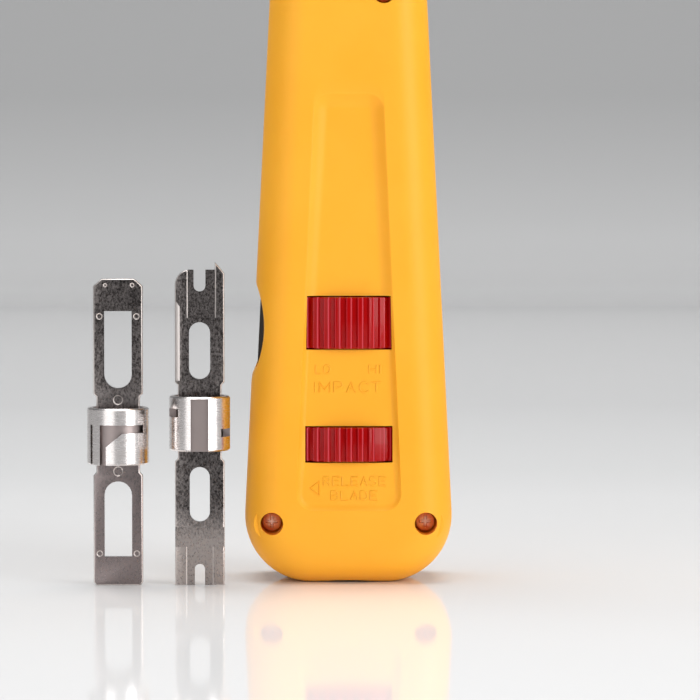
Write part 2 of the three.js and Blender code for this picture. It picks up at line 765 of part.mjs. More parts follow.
// The newer, hooked type: a forked foot, and a fork with a pointed hook at the top.
function blade110Plate() {
  const w = bladeHalfWidth;
  const n = bladeNeck;
  const top = blade110Length;
  const [low, high] = blade110Collar;
  const neckLow = low - 1.6;
  const neckHigh = high + 2;
  const notch = 1.1;
  const hook = w - 1.76; // the hook's point stands this far out
  const lowNotch = 0.95;
  const shape = new THREE.Shape();
  shape.moveTo(-w, 0);
  shape.lineTo(-lowNotch, 0);
  shape.lineTo(-lowNotch, 4 - lowNotch);
  shape.absarc(0, 4 - lowNotch, lowNotch, Math.PI, 0, true);
  shape.lineTo(lowNotch, 0);
  shape.lineTo(w, 0);
  shape.lineTo(w, neckLow - (w - n));
  shape.lineTo(n, neckLow);
  shape.lineTo(n, neckHigh);
  shape.lineTo(w, neckHigh + (w - n));
  shape.lineTo(w, top - 2.1);
  shape.lineTo(hook, top);
  shape.lineTo(hook, top - 1.4);
  shape.lineTo(notch, top - 1.4);
  shape.lineTo(notch, top - 4.1 + notch);
  shape.absarc(0, top - 4.1 + notch, notch, 0, -Math.PI, true);
  shape.lineTo(-notch, top - 1.4);
  shape.lineTo(-2.2, top - 1.4);
  shape.absarc(-w + 2, top - 2.9, 2, Math.PI / 2, Math.PI);
  shape.lineTo(-w, neckHigh + (w - n));
  shape.lineTo(-n, neckHigh);
  shape.lineTo(-n, neckLow);
  shape.lineTo(-w, neckLow - (w - n));
  shape.closePath();
  shape.holes.push(slotPath(2, 39, 49.8, true, true));
  shape.holes.push(slotPath(1.9, 12, 22.4, true, true));
  return prismY(shape, -bladeHalf, bladeHalf);
}

// The twist lock's groove: it comes in at the collar's lower end, climbs, and runs sideways.
function bayonetGroove(radius, z0, z1) {
  const floor = radius - lockPinReach - joint;
  const pass = lockPinRadius + joint / 2;
  const middle = (z0 + z1) / 2 + 1.5;
  const entry = box(-1.7 - pass, -1.7 + pass, -radius - past, -floor, z0 - past, middle);
  const run = box(-1.7 - pass, 2.2, -radius - past, -floor, middle - pass, middle + pass);
  return entry.add(run);
}

function blade66Ring() {
  const [z0, z1] = blade66Collar;
  const groove = bayonetGroove(collarRadius, z0, z1);
  const behind = groove.rotate([0, 0, 180]);
  return collar(collarRadius, blade66Collar).subtract(groove).subtract(behind);
}

function blade110Ring() {
  const [z0, z1] = blade110Collar;
  const deep = collarRadius - lockPinReach - joint;
  const groove = box(-1.6, 1.6, -collarRadius - past, -deep, z0 - past, z1 + past);
  const ring = collar(collarRadius - 0.09, blade110Collar).subtract(groove);
  return ring.subtract(groove.rotate([0, 0, 180]));
}

function blade(x, plateName, plate, ringName, ring) {
  const group = new THREE.Group();
  group.position.set(toolX + x, toolY + bladeRowY, 0);
  place(group, plateName, plate, bladeSteel);
  place(group, ringName, ring, collarSteel);
  return group;
}

const set = new THREE.Group();
set.add(tool);
set.add(blade(blade66X, "blade_66_plate", blade66Plate(), "blade_66_collar", blade66Ring()));
set.add(blade(blade110X, "blade_110_plate", blade110Plate(), "blade_110_collar", blade110Ring()));

export default set;
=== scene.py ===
"""An impact punch down tool standing on its blade end, with its two spare blades beside it.

Lengths below are in millimetres about the tool's own axis. The mesh makers turn them into metres
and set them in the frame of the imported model, so every piece is already in its place.
"""

import math

import bmesh
import bpy
import numpy as np
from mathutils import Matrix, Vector


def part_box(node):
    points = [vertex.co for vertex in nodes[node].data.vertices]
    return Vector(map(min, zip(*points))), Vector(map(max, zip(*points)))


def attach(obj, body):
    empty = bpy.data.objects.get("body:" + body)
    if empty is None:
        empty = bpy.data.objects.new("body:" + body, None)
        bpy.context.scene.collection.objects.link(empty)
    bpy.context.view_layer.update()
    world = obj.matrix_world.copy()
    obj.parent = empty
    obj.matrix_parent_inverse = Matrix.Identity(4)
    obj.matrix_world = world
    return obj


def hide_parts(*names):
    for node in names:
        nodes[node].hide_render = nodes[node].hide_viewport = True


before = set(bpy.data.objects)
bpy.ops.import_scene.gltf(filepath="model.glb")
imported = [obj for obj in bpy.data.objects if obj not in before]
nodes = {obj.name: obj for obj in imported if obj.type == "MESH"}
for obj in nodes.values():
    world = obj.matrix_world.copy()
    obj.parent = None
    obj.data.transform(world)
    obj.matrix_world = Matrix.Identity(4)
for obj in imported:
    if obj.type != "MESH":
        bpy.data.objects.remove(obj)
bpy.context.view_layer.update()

# ---- Studio -------------------------------------------------------------------------------
# A pale sweep of smooth card under and behind the tool, its grey painted darker with distance back
# and up the sweep as painted shade for the lamps' falloff. A soft box stands to the right of the
# lens, a weaker one to the left and a broad one overhead, and a fourth lights the sweep. A long
# lens looks very slightly down.

shell_low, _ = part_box("front_shell")
nose_low, nose_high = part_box("blade_holder")
axis_x = (nose_low.x + nose_high.x) / 2
axis_y = (nose_low.y + nose_high.y) / 2
view_height = 0.0445
view_right = 0.0002
view_down = math.radians(3.0)
view_left = math.radians(0.8)
view_distance = 0.9
frame_width = 0.1322

scene = bpy.context.scene
scene.view_settings.view_transform = "Standard"
scene.view_settings.look = "None"

camera_data = bpy.data.cameras.new("camera")
camera_data.sensor_width = 36.0
camera_data.lens = camera_data.sensor_width * view_distance / frame_width
camera_data.clip_end = 20.0
camera = bpy.data.objects.new("camera", camera_data)
aim = Vector((axis_x + view_right, shell_low.y, view_height))
away = Vector((-math.sin(view_left), -math.cos(view_left), math.tan(view_down))).normalized()
camera.location = aim + away * view_distance
camera.rotation_euler = (-away).to_track_quat("-Z", "Y").to_euler()
scene.collection.objects.link(camera)
scene.camera = camera


def area_light(name, azimuth, height, distance, size, power):
    """A rectangular light at an azimuth right of the lens, turned towards the tool's middle."""
    data = bpy.data.lights.new(name, "AREA")
    data.shape = "RECTANGLE"
    data.size, data.size_y = size
    data.energy = power
    light = bpy.data.objects.new(name, data)
    turn = math.radians(azimuth)
    middle = Vector((axis_x, axis_y, 0.06))
    ahead = Vector((math.sin(turn), -math.cos(turn), 0)) * distance
    light.location = middle + ahead + Vector((0, 0, height))
    light.rotation_euler = (middle - light.location).to_track_quat("-Z", "Y").to_euler()
    scene.collection.objects.link(light)
    return light


area_light("key_box", 48, 0.25, 0.95, (0.5, 0.8), 6.8)
area_light("fill_box", -34, 0.3, 1.2, (0.9, 0.9), 4.0)
area_light("top_box", 0, 1.0, -0.14, (0.9, 0.7), 11.5)
sweep_light = area_light("sweep_box", 180, 0.9, 0.4, (2.4, 0.6), 14.5)
sweep_light.rotation_euler = (math.radians(78), 0, 0)

world = bpy.data.worlds.new("studio")
scene.world = world
world.use_nodes = True
world.node_tree.nodes["Background"].inputs["Color"].default_value = (0.62, 0.63, 0.65, 1)
world.node_tree.nodes["Background"].inputs["Strength"].default_value = 0.36


def new_mesh(name, vertices, faces):
    """A mesh object from arrays in metres, shaded smooth all over."""
    mesh = bpy.data.meshes.new(name)
    mesh.from_pydata(np.asarray(vertices).tolist(), [], [list(map(int, f)) for f in faces])
    mesh.validate()
    piece = bpy.data.objects.new(name, mesh)
    scene.collection.objects.link(piece)
    mesh.polygons.foreach_set("use_smooth", np.ones(len(mesh.polygons), bool))
    return piece


def new_material(name):
    """A material with an empty node tree but for its Principled shader; returns all three."""
    material = bpy.data.materials.new(name)
    material.use_nodes = True
    tree = material.node_tree
    return material, tree, tree.nodes["Principled BSDF"]


def floor_sweep():
    """Profile carried along X: flat floor, then a quarter circle of the sweep's radius, then up."""
    radius, flat_end = 0.9, 1.2
    bend = np.linspace(0, math.pi / 2, 24)
    depth = np.concatenate([[-3.0], flat_end + radius * np.sin(bend), [flat_end + radius]])
    height = np.concatenate([[0.0], radius * (1 - np.cos(bend)), [4.0]])
    side = np.array([-4.0, 4.0])
    x = np.repeat(side, len(depth))
    vertices = np.stack([x, np.tile(depth, 2), np.tile(height, 2)], axis=1)
    k = np.arange(len(depth) - 1)
    faces = np.stack([k, k + len(depth), k + len(depth) + 1, k + 1], axis=1)
    return new_mesh("floor_sweep", vertices, faces)


floor = floor_sweep()
card, tree, shader = new_material("card")
place = tree.nodes.new("ShaderNodeTexCoord")
split = tree.nodes.new("ShaderNodeSeparateXYZ")
shade = tree.nodes.new("ShaderNodeMapRange")
tone = tree.nodes.new("ShaderNodeValToRGB")
fade_from, fade_to = 0.1, 1.8  # metres behind the tool
# Grey of the card by distance behind the tool: painted shade, darker further back, with a lighter
# band where the floor turns up.
painted_falloff = [
    (0.19, 0.96), (0.27, 0.87), (0.52, 0.72), (0.86, 0.69), (1.17, 0.65), (1.24, 0.71),
    (1.4, 0.665), (1.6, 0.48),
]  # fmt: skip
shade.inputs["From Min"].default_value = fade_from
shade.inputs["From Max"].default_value = fade_to
while len(tone.color_ramp.elements) < len(painted_falloff):
    tone.color_ramp.elements.new(0.5)
for stop, (behind, grey) in zip(tone.color_ramp.elements, painted_falloff):
    stop.position = (behind - fade_from) / (fade_to - fade_from)
    stop.color = (grey, grey, grey, 1)
tree.links.new(place.outputs["Object"], split.inputs["Vector"])
tree.links.new(split.outputs["Y"], shade.inputs["Value"])
tree.links.new(shade.outputs["Result"], tone.inputs["Fac"])
tree.links.new(tone.outputs["Color"], shader.inputs["Base Color"])
shader.inputs["Roughness"].default_value = 0.07
shader.inputs["Specular IOR Level"].default_value = 0.17
floor.data.materials.append(card)

# ---- Handle shells --------------------------------------------------------------------------
# Two mirrored shells of amber moulded plastic, screwed together along a seam round the sides.
# Each has a sunk tapered panel with two windows for the wheels, a scoop in the left side, half
# of the coned mouth at the foot, and the channel that the spare-blade tray closes.

body_length = 172.0
half_width = 19.7
half_thickness = 14.25
body_lean = math.radians(2.8)
nose_radius = 12.7
palm_radius = 9.5
edge_radius = 7.0
wall = 2.4
seam = 0.15  # half of the gap between the shells
nose_centre = half_width - nose_radius
body_reach = nose_centre * math.cos(body_lean) + nose_radius * (math.sin(body_lean) + 1)
side_strip = half_thickness - edge_radius

panel_low, panel_high = 14.0, 92.9
panel_lean = math.radians(2.55)
panel_reach = 10.7 * math.cos(panel_lean)
panel_corner = 3.2
panel_depth = 0.75
panel_tilt = math.tan(math.radians(0.55))

release_window = (23.1, 30.05)
impact_window = (44.5, 54.7)
wheel_radius = 15.3
scoop = dict(middle=48.8, depth=1.9, radius=22.3, half_height=11)
channel = (40.2, 163.4)
mouth_radius, mouth_hole = 10.0, 7.75
screw_holes = [(-14.6, 11.5), (14.6, 11.5), (6.6, 112.0), (0.0, 167.0)]
head_level = 5.6 - half_thickness  # level of the screws' heads, sunk below the face

arc_low, arc_high = 16, 12  # steps round a low and a high corner
flats = np.linspace(0, 1, 20, endpoint=False)  # shares of a straight foot or top
# heights that rows of points pass through, and how many steps lie below, between and above them
knots = [*release_window, channel[0] - 0.4, channel[0], *impact_window, 57.8]
knot_steps = [8, 10, 12, 1, 6, 14, 5, 44]


def side_steps(low, high):
    """Heights from low to high that pass through the knots, with equal steps between them."""
    stops = [low, *knots, high]
    parts = [np.linspace(a, b, n, endpoint=False) for a, b, n in zip(stops, stops[1:], knot_steps)]
    return np.concatenate([*parts, [high]])


def half_outline(low, high, reach, lean, low_radius, high_radius, inset, heights):
    """Right half of a rounded tapering outline, from its lowest middle point to its highest.

    Straight foot, arc about the low corner's centre, straight side that leans in, arc about the
    high corner's centre, straight top. inset shrinks it evenly. Gives x, z and outward normals.
    """
    low_z, high_z = low + low_radius, high - high_radius
    low_x = (reach - low_radius - low_z * math.sin(lean)) / math.cos(lean)
    high_x = (reach - high_radius - high_z * math.sin(lean)) / math.cos(lean)
    a = np.linspace(-math.pi / 2, lean, arc_low + 1)
    b = np.linspace(lean, math.pi / 2, arc_high + 1)
    r0, r1 = low_radius - inset, high_radius - inset
    low_end = low_z + r0 * math.sin(lean)
    high_end = high_z + r1 * math.sin(lean)
    f = (heights - heights[0]) / (heights[-1] - heights[0])
    side_z = heights + (low_end - heights[0]) * (1 - f) ** 8 + (high_end - heights[-1]) * f**8
    side_x = (reach - inset - side_z * math.sin(lean)) / math.cos(lean)
    x = [low_x * flats, low_x + r0 * np.cos(a), side_x[1:-1], high_x + r1 * np.cos(b)]
    z = [0 * flats + low + inset, low_z + r0 * np.sin(a), side_z[1:-1], high_z + r1 * np.sin(b)]
    nx = [0 * flats, np.cos(a), 0 * side_x[1:-1] + math.cos(lean), np.cos(b)]
    nz = [0 * flats - 1, np.sin(a), 0 * side_x[1:-1] + math.sin(lean), np.sin(b)]
    top = flats[::-1]
    x.append(high_x * top)
    z.append(0 * top + high - inset)
    nx.append(0 * top)
    nz.append(0 * top + 1)
    return [np.concatenate(part) for part in (x, z, nx, nz)]


def whole_loop(half):
    """The right half and its mirror as one closed loop; the two middle points come once."""
    x, z, nx, nz = half
    back = slice(-2, 0, -1)

    def join(part, sign):
        return np.concatenate([part, sign * part[back]])

    return join(x, -1), join(z, 1), join(nx, -1), join(nz, 1)


def inside(x, z, low, high, reach, lean, radius):
    """Distance from a point to a rounded tapering outline round it: the least of the distances
    to its foot, top and side, and the arc's own distance beyond a corner's centre."""
    px = np.abs(x)
    d = np.minimum(reach - px * math.cos(lean) - z * math.sin(lean), np.minimum(z - low, high - z))
    for cz, sign in ((low + radius, 1), (high - radius, -1)):
        cx = (reach - radius - cz * math.sin(lean)) / math.cos(lean)
        ahead = px - cx
        below = sign * (cz - z) + sign * ahead * math.tan(lean)
        arc = (ahead > 0) & (below > 0)
        d = np.where(arc, np.minimum(d, radius - np.hypot(ahead, z - cz)), d)
    return d


def soft_ramp(t, soft=0.09):
    """0 below 0, 1 above 1, straight between, with both corners rounded by a hyperbola."""
    up = 0.5 * (t + np.sqrt(t * t + soft * soft))
    left = 1 - up
    return 1 - 0.5 * (left + np.sqrt(left * left + soft * soft))


def panel_sink(x, z):
    """How far the panel lies below the face: its depth, which grows upwards, times a ramp that
    is steep at the panel's edge and eases out at the floor, over a band that widens upwards."""
    q = inside(x, z, panel_low, panel_high, panel_reach, panel_lean, panel_corner)
    band = 1.15 + 1.2 * np.clip((z - 47) / 7, 0, 1) + 0.4 * np.clip((z - 58) / 30, 0, 1)
    depth = panel_depth + (z - panel_low) * panel_tilt
    ramp = np.maximum(soft_ramp(q / band) - soft_ramp(np.array(0.0)), 0)
    return depth * (1 - (1 - ramp) ** 1.7)


def window_ring(z):
    """Inset of the ring of points that carries the windows' upright edges at each height."""
    heights = [17, 21, *release_window, 37, *impact_window, 60, 92]
    insets = [0.7, 1.3, 1.4, 1.1, 0.9, 0.62, 0.36, 0.5, 0.5]
    return np.interp(z, heights, insets)


def shell_rings():
    """Rings of the front shell from the seam round the edge and in to the panel's floor.

    Seam strip straight back; quarter circle of the edge radius; straight blend on the flat face;
    rings inside the panel that sink by panel_sink. Gives the outer points, the inner points and
    the number of the ring that carries the windows' upright edges.
    """
    sin = math.sin(body_lean)
    body_rows = side_steps(nose_radius * (1 + sin), body_length - palm_radius * (1 - sin))
    rim_rows = side_steps(panel_low + 3.3, panel_high - 3.1)
    window_inset, last_inset = 0.5, 2.7
    outer, inner = [], []

    def add(ring, y, inner_ring, inner_y):
        x, z = ring[0], ring[1]
        outer.append(np.stack([x, y + 0 * x, z], axis=1))
        inner.append(np.stack([inner_ring[0], inner_y + 0 * x, inner_ring[1]], axis=1))

    def body(inset):
        sizes = (0, body_length, body_reach, body_lean, nose_radius, palm_radius)
        return whole_loop(half_outline(*sizes, inset, body_rows))

    for y in (-seam, -2.5, -4.8, -7.1):
        add(body(0), y, body(wall), y)
    for turn in np.linspace(0, math.pi / 2, 15):
        bevel, hollow = edge_radius, edge_radius - wall
        cosine = 1 - math.cos(turn)
        y = side_strip + bevel * math.sin(turn)
        inner_y = side_strip + hollow * math.sin(turn)
        add(body(bevel * cosine), -y, body(wall + hollow * cosine), -inner_y)
    flat = outer[-1]

    def panel(inset, warp):
        sizes = (panel_low, panel_high, panel_reach, panel_lean, panel_corner, panel_corner)
        half = half_outline(*sizes, inset, rim_rows)
        if warp:
            first, last = len(flats) + arc_low + 1, len(half[0]) - len(flats) - arc_high - 1
            rows = slice(first, last)
            edge = window_ring(half[1][rows])
            at = np.interp(inset, [0, window_inset, last_inset], [0, 1, 2])
            wanted = np.where(at <= 1, at * edge, edge + (at - 1) * (last_inset - edge))
            half[0][rows] += (inset - wanted) / math.cos(panel_lean)
        return whole_loop(half)

    rim = panel(0, False)
    for share in (0.3, 0.6, 0.85, 0.96):
        x = flat[:, 0] * (1 - share) + rim[0] * share
        z = flat[:, 2] * (1 - share) + rim[1] * share
        add((x, z), -half_thickness, (x, z), wall - half_thickness)
    insets = [0, 0.12, 0.26, window_inset, 0.75, 1.0, 1.25, 1.5, 1.75, 2.0, 2.25, 2.5, last_inset]
    window_index = len(outer) + insets.index(window_inset)
    for inset in insets:
        ring = panel(inset, True)
        add(ring, -half_thickness + panel_sink(ring[0], ring[1]), ring, wall - half_thickness)
    return np.array(outer), np.array(inner), window_index


def carve(points, inner):
    """Moves the left side in to the scoop, a cylinder along Y whose axis lies outside the shell;
    the inside follows it a wall's thickness further in."""
    x, z = points[:, 0], points[:, 2]
    centre = -(body_reach - scoop["middle"] * math.sin(body_lean)) / math.cos(body_lean)
    centre += scoop["depth"] - scoop["radius"]
    if inner:
        centre += wall
    up = np.clip(np.abs(z - scoop["middle"]) / scoop["radius"], 0, 1)
    bow = centre + scoop["radius"] * np.sqrt(1 - up * up)
    near = np.abs(z - scoop["middle"]) < scoop["half_height"]
    points[:, 0] = np.where(near & (x < 0), np.maximum(x, bow), x)
    return points


def front_shell_mesh():
    """Closed shell: the ring surface and its floor patch, the same again inside, pushed out into
    pockets round the wheels, and a wall along every open edge: seam, windows and tray channel."""
    outer, inner, window_index = shell_rings()
    rings, around = outer.shape[:2]
    half = around // 2 + 1
    first, rows = len(flats), half - 2 * len(flats)
    last = (rings - 1) * around

    columns = np.arange(-len(flats), len(flats) + 1)
    patch = np.zeros((rows, len(columns)), int)
    fresh = rings * around + np.arange((rows - 2) * (len(columns) - 2))
    patch[1:-1, 1:-1] = fresh.reshape(rows - 2, -1)
    patch[0] = last + np.where(columns >= 0, np.abs(columns), (around - np.abs(columns)) % around)
    top = half - 1 - np.abs(columns)
    patch[-1] = last + np.where(columns >= 0, top, (around - top) % around)
    side = first + np.arange(rows)
    patch[:, -1] = last + side
    patch[:, 0] = last + around - side

    share = columns[1:-1] / len(flats)
    edge = outer[-1][side[1:-1]]
    x = edge[:, :1] * share
    z = edge[:, 2:] + 0 * x
    floor_y = -half_thickness + panel_sink(x, z)
    back_y = wall - half_thickness + 0 * x
    floor_points = np.stack([x, floor_y, z], axis=2).reshape(-1, 3)
    back_points = np.stack([x, back_y, z], axis=2).reshape(-1, 3)
    outside = carve(np.concatenate([outer.reshape(-1, 3), floor_points]), False)
    inside_points = carve(np.concatenate([inner.reshape(-1, 3), back_points]), True)

    wheel_gap, least_wall = 0.3, 0.15
    for low, high in (release_window, impact_window):
        px, py = inside_points[:, 0], inside_points[:, 1]
        within = (outside[:, 2] > low + 0.01) & (outside[:, 2] < high - 0.01) & (np.abs(px) < 15)
        pocket = np.sqrt(np.maximum((wheel_radius + wheel_gap) ** 2 - px * px, 0))
        pushed = np.minimum(np.maximum(-py, pocket), np.maximum(-outside[:, 1] - least_wall, -py))
        inside_points[:, 1] = np.where(within & (-py > 7), -pushed, py)

    ring = np.arange(rings - 1)[:, None] * around
    k = np.arange(around)
    a, b = ring + k, ring + (k + 1) % around
    quads = np.stack([a, b, b + around, a + around], axis=2)
    middle = outside[quads].mean(axis=2)
    left = middle[..., 0] < 0
    strip = np.arange(rings - 1)[:, None] < 3
    tray_gap = left & strip & (middle[..., 2] > channel[0]) & (middle[..., 2] < channel[1])
    sunk = np.arange(rings - 1)[:, None] >= window_index
    window = np.zeros_like(left)
    for low, high in (release_window, impact_window):
        window |= sunk & (middle[..., 2] > low) & (middle[..., 2] < high)
    quads = quads[~(tray_gap | window)]
    cells = np.stack([patch[:-1, :-1], patch[:-1, 1:], patch[1:, 1:], patch[1:, :-1]], axis=2)
    centre = outside[cells].mean(axis=2)[..., 2]
    open_cells = np.zeros(centre.shape, bool)
    for low, high in (release_window, impact_window):
        open_cells |= (centre > low) & (centre < high)
    faces = np.concatenate([quads, cells[~open_cells]])

    count = len(outside)
    edges = np.concatenate([faces[:, [i, (i + 1) % 4]] for i in range(4)])
    key = np.sort(edges, axis=1)
    _, back, times = np.unique(key, axis=0, return_inverse=True, return_counts=True)
    rim = edges[times[back.ravel()] == 1]
    walls = np.stack([rim[:, 1], rim[:, 0], rim[:, 0] + count, rim[:, 1] + count], axis=1)
    everything = np.concatenate([faces, faces[:, ::-1] + count, walls])
    points = np.concatenate([outside, inside_points])
    used = np.unique(everything)
    renumber = np.zeros(len(points), int)
    renumber[used] = np.arange(len(used))
    return points[used], renumber[everything]


def in_place(points):
    """Millimetres about the tool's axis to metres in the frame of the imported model."""
    return np.asarray(points, float) / 1000 + np.array([axis_x, axis_y, 0])


def rod_mesh(profile, sides=48):
    """A profile of distance along Y and radius turned round the Y axis, closed at both ends."""
    along, radius = np.array(profile, float).T
    turn = np.linspace(0, 2 * math.pi, sides, endpoint=False)
    x = radius[:, None] * np.cos(turn)
    z = radius[:, None] * np.sin(turn)
    points = np.stack([x, along[:, None] + 0 * x, z], axis=2).reshape(-1, 3)
    k, row = np.arange(sides), np.arange(len(along) - 1)[:, None] * sides
    a, b = row + k, row + (k + 1) % sides
    faces = np.stack([a, a + sides, b + sides, b], axis=2).reshape(-1, 4).tolist()
    faces += [list(range(sides)), list(range(len(points) - 1, len(points) - 1 - sides, -1))]
    return points, faces


def outward(piece, smooth_angle=35):
    """Turns the faces of a closed piece outwards and softens its shading up to an edge angle."""
    shape = bmesh.new()
    shape.from_mesh(piece.data)
    bmesh.ops.remove_doubles(shape, verts=shape.verts, dist=1e-7)
    bmesh.ops.recalc_face_normals(shape, faces=shape.faces)
    shape.to_mesh(piece.data)
    shape.free()
    piece.data.polygons.foreach_set("use_smooth", np.ones(len(piece.data.polygons), bool))
    piece.data.set_sharp_from_angle(angle=math.radians(smooth_angle))
    return piece


def combine(piece, other, operation):
    """Joins another closed piece to this one or cuts it out; the other one is used up."""
    step = piece.modifiers.new("combine", "BOOLEAN")
    step.operation = operation
    step.solver = "EXACT"
    step.object = other
    graph = bpy.context.evaluated_depsgraph_get()
    mesh = bpy.data.meshes.new_from_object(piece.evaluated_get(graph))
    piece.modifiers.clear()
    piece.data = mesh
    bpy.data.objects.remove(other)
    return piece


def turned_piece(name, profile, x, z, sides=48):
    """A turned piece along Y whose axis passes through x and z."""
    points, faces = rod_mesh(profile, sides)
    return outward(new_mesh(name, in_place(points + np.array([x, 0, z])), faces))


points, faces = front_shell_mesh()
front = outward(new_mesh("shell_front", in_place(points), faces))
rear = outward(new_mesh("shell_rear", in_place(points * np.array([1, -1, 1])), faces))
hole_profile = [(-16, 2.15), (head_level + 1.8, 2.15), (head_level + 1.8, 1.3), (1, 1.3)]
for x, z in screw_holes:
    boss = turned_piece("boss", [(-12.4, 3.4), (-0.4, 3.4)], x, z)
    front = combine(front, boss, "UNION")
    front = combine(front, turned_piece("hole", hole_profile, x, z), "DIFFERENCE")
cone = [(-1, mouth_radius + 1), (mouth_radius - mouth_hole, mouth_hole), (9, mouth_hole)]
for shell in (front, rear):
    points, faces = rod_mesh(cone, 96)
    upright = points[:, [0, 2, 1]]
    mouth = outward(new_mesh("mouth", in_place(upright), faces))
    outward(combine(shell, mouth, "DIFFERENCE"), 30)


def socket(group, name, kind, side, value=None):
    """One named input or output of a node group, with the value it has when nothing is set."""
    made = group.interface.new_socket(name=name, in_out=side, socket_type=kind)
    if value is not None:
        made.default_value = value


def moulded_surface_group():
    """Moulded plastic: broad uneven tone and fine satin grain on object space.

    Outputs a tone mask and a roughness from the broad noise, and a height from the grain noise at the
    scale in metres."""
    group = bpy.data.node_groups.new("moulded_surface", "ShaderNodeTree")
    socket(group, "Roughness", "NodeSocketFloat", "INPUT", 0.4)
    socket(group, "Unevenness", "NodeSocketFloat", "INPUT", 0.08)
    socket(group, "Grain Scale", "NodeSocketFloat", "INPUT", 2600.0)
    socket(group, "Tone", "NodeSocketFloat", "OUTPUT")
    socket(group, "Roughness", "NodeSocketFloat", "OUTPUT")
    socket(group, "Height", "NodeSocketFloat", "OUTPUT")
    start = group.nodes.new("NodeGroupInput")
    end = group.nodes.new("NodeGroupOutput")
    place = group.nodes.new("ShaderNodeTexCoord")
    broad = group.nodes.new("ShaderNodeTexNoise")
    grain = group.nodes.new("ShaderNodeTexNoise")
    broad.inputs["Scale"].default_value = 46.0
    broad.inputs["Detail"].default_value = 3.0
    grain.inputs["Detail"].default_value = 2.0
    rough = group.nodes.new("ShaderNodeMath")
    rough.operation = "MULTIPLY_ADD"
    shift = group.nodes.new("ShaderNodeMath")
    shift.operation = "SUBTRACT"
    shift.inputs[1].default_value = 0.5
    link = group.links.new
    link(place.outputs["Object"], broad.inputs["Vector"])
    link(place.outputs["Object"], grain.inputs["Vector"])
    link(start.outputs["Grain Scale"], grain.inputs["Scale"])
    link(broad.outputs["Fac"], shift.inputs[0])
    link(shift.outputs[0], rough.inputs[0])
    link(start.outputs["Unevenness"], rough.inputs[1])
    link(start.outputs["Roughness"], rough.inputs[2])
    link(broad.outputs["Fac"], end.inputs["Tone"])
    link(rough.outputs[0], end.inputs["Roughness"])
    link(grain.outputs["Fac"], end.inputs["Height"])
    return group


moulded_surface = moulded_surface_group()


def plastic(name, dark, light, roughness, grain, unevenness=0.08, subsurface=0.0, specular=0.5):
    """Moulded plastic: two tones mixed by the broad mask, a roughness that wanders by the
    unevenness, the fine grain as a bump of so many metres, and a little light let in."""
    material, tree, shader = new_material(name)
    surface = tree.nodes.new("ShaderNodeGroup")
    surface.node_tree = moulded_surface
    surface.inputs["Roughness"].default_value = roughness
    surface.inputs["Unevenness"].default_value = unevenness
    tone = tree.nodes.new("ShaderNodeValToRGB")
    tone.color_ramp.elements[0].position = 0.35
    tone.color_ramp.elements[0].color = (*dark, 1)
    tone.color_ramp.elements[1].position = 0.65
    tone.color_ramp.elements[1].color = (*light, 1)
    bump = tree.nodes.new("ShaderNodeBump")
    bump.inputs["Strength"].default_value = 1.0
    bump.inputs["Distance"].default_value = grain
    link = tree.links.new
    link(surface.outputs["Tone"], tone.inputs["Fac"])
    link(tone.outputs["Color"], shader.inputs["Base Color"])
    link(surface.outputs["Roughness"], shader.inputs["Roughness"])
    link(surface.outputs["Height"], bump.inputs["Height"])
    link(bump.outputs["Normal"], shader.inputs["Normal"])
    shader.inputs["Specular IOR Level"].default_value = specular
    shader.inputs["Subsurface Weight"].default_value = subsurface
    shader.inputs["Subsurface Radius"].default_value = (1.0, 0.45, 0.1)
    shader.inputs["Subsurface Scale"].default_value = 0.0012
    return material


amber, pale_amber = (0.94, 0.41, 0.018), (0.965, 0.435, 0.025)
yellow_plastic = plastic("amber_plastic", amber, pale_amber, 0.47, 0.00001, 0.08, 0.1, 0.3)
for shell, node in ((front, "front_shell"), (rear, "rear_shell")):
    shell.data.materials.append(yellow_plastic)
    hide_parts(node)
    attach(shell, "handle")

# ---- Raised words ---------------------------------------------------------------------------
# Small plain words moulded proud of the panel's floor in the same plastic: what each wheel does,
# and the two ends of the upper wheel's range. An open triangle points the way the lower turns.


def bowed(reach, start, end, steps):
    """Points on a letter's round stroke: an ellipse as wide as twice its reach and 1 high."""
    turn = np.radians(np.linspace(start, end, steps))
    return np.column_stack([reach + reach * np.cos(turn), 0.5 + 0.5 * np.sin(turn)])


strokes = {
    "A": [[(0, 0), (0.5, 1), (1, 0)], [(0.18, 0.36), (0.82, 0.36)]],
    "B": [[(0, 0), (0, 1), (0.62, 1), (0.93, 0.88), (0.93, 0.64), (0.62, 0.53), (0, 0.53)],
          [(0.62, 0.53), (1, 0.4), (1, 0.13), (0.66, 0), (0, 0)]],
    "C": [bowed(0.55, 40, 320, 15)],
    "D": [[(0, 0), (0, 1), *bowed(0.5, 90, -90, 7), (0, 0)]],
    "E": [[(1, 1), (0, 1), (0, 0), (1, 0)], [(0, 0.52), (0.85, 0.52)]],
    "H": [[(0, 0), (0, 1)], [(1, 0), (1, 1)], [(0, 0.5), (1, 0.5)]],
    "I": [[(0, 0), (0, 1)]],
    "L": [[(0, 1), (0, 0), (1, 0)]],
    "M": [[(0, 0), (0, 1), (0.6, 0.3), (1.2, 1), (1.2, 0)]],
    "O": [bowed(0.6, 0, 342, 20)],
    "P": [[(0, 0), (0, 1), (0.66, 1), (0.97, 0.86), (0.97, 0.6), (0.66, 0.45), (0, 0.45)]],
    "R": [[(0, 0), (0, 1), (0.66, 1), (0.97, 0.86), (0.97, 0.6), (0.66, 0.47), (0, 0.47)],
          [(0.5, 0.47), (1, 0)]],
    "S": [[(1, 0.86), (0.75, 1), (0.25, 1), (0, 0.85), (0, 0.64), (0.25, 0.53), (0.75, 0.47),
           (1, 0.36), (1, 0.15), (0.75, 0), (0.25, 0), (0, 0.14)]],
    "T": [[(0, 1), (1, 1)], [(0.5, 1), (0.5, 0)]],
    "<": [[(0, 0.5), (1, 1), (1, 0)]],
}  # fmt: skip
closed_strokes = "O<"
stroke_radius = 0.19
relief = 0.16


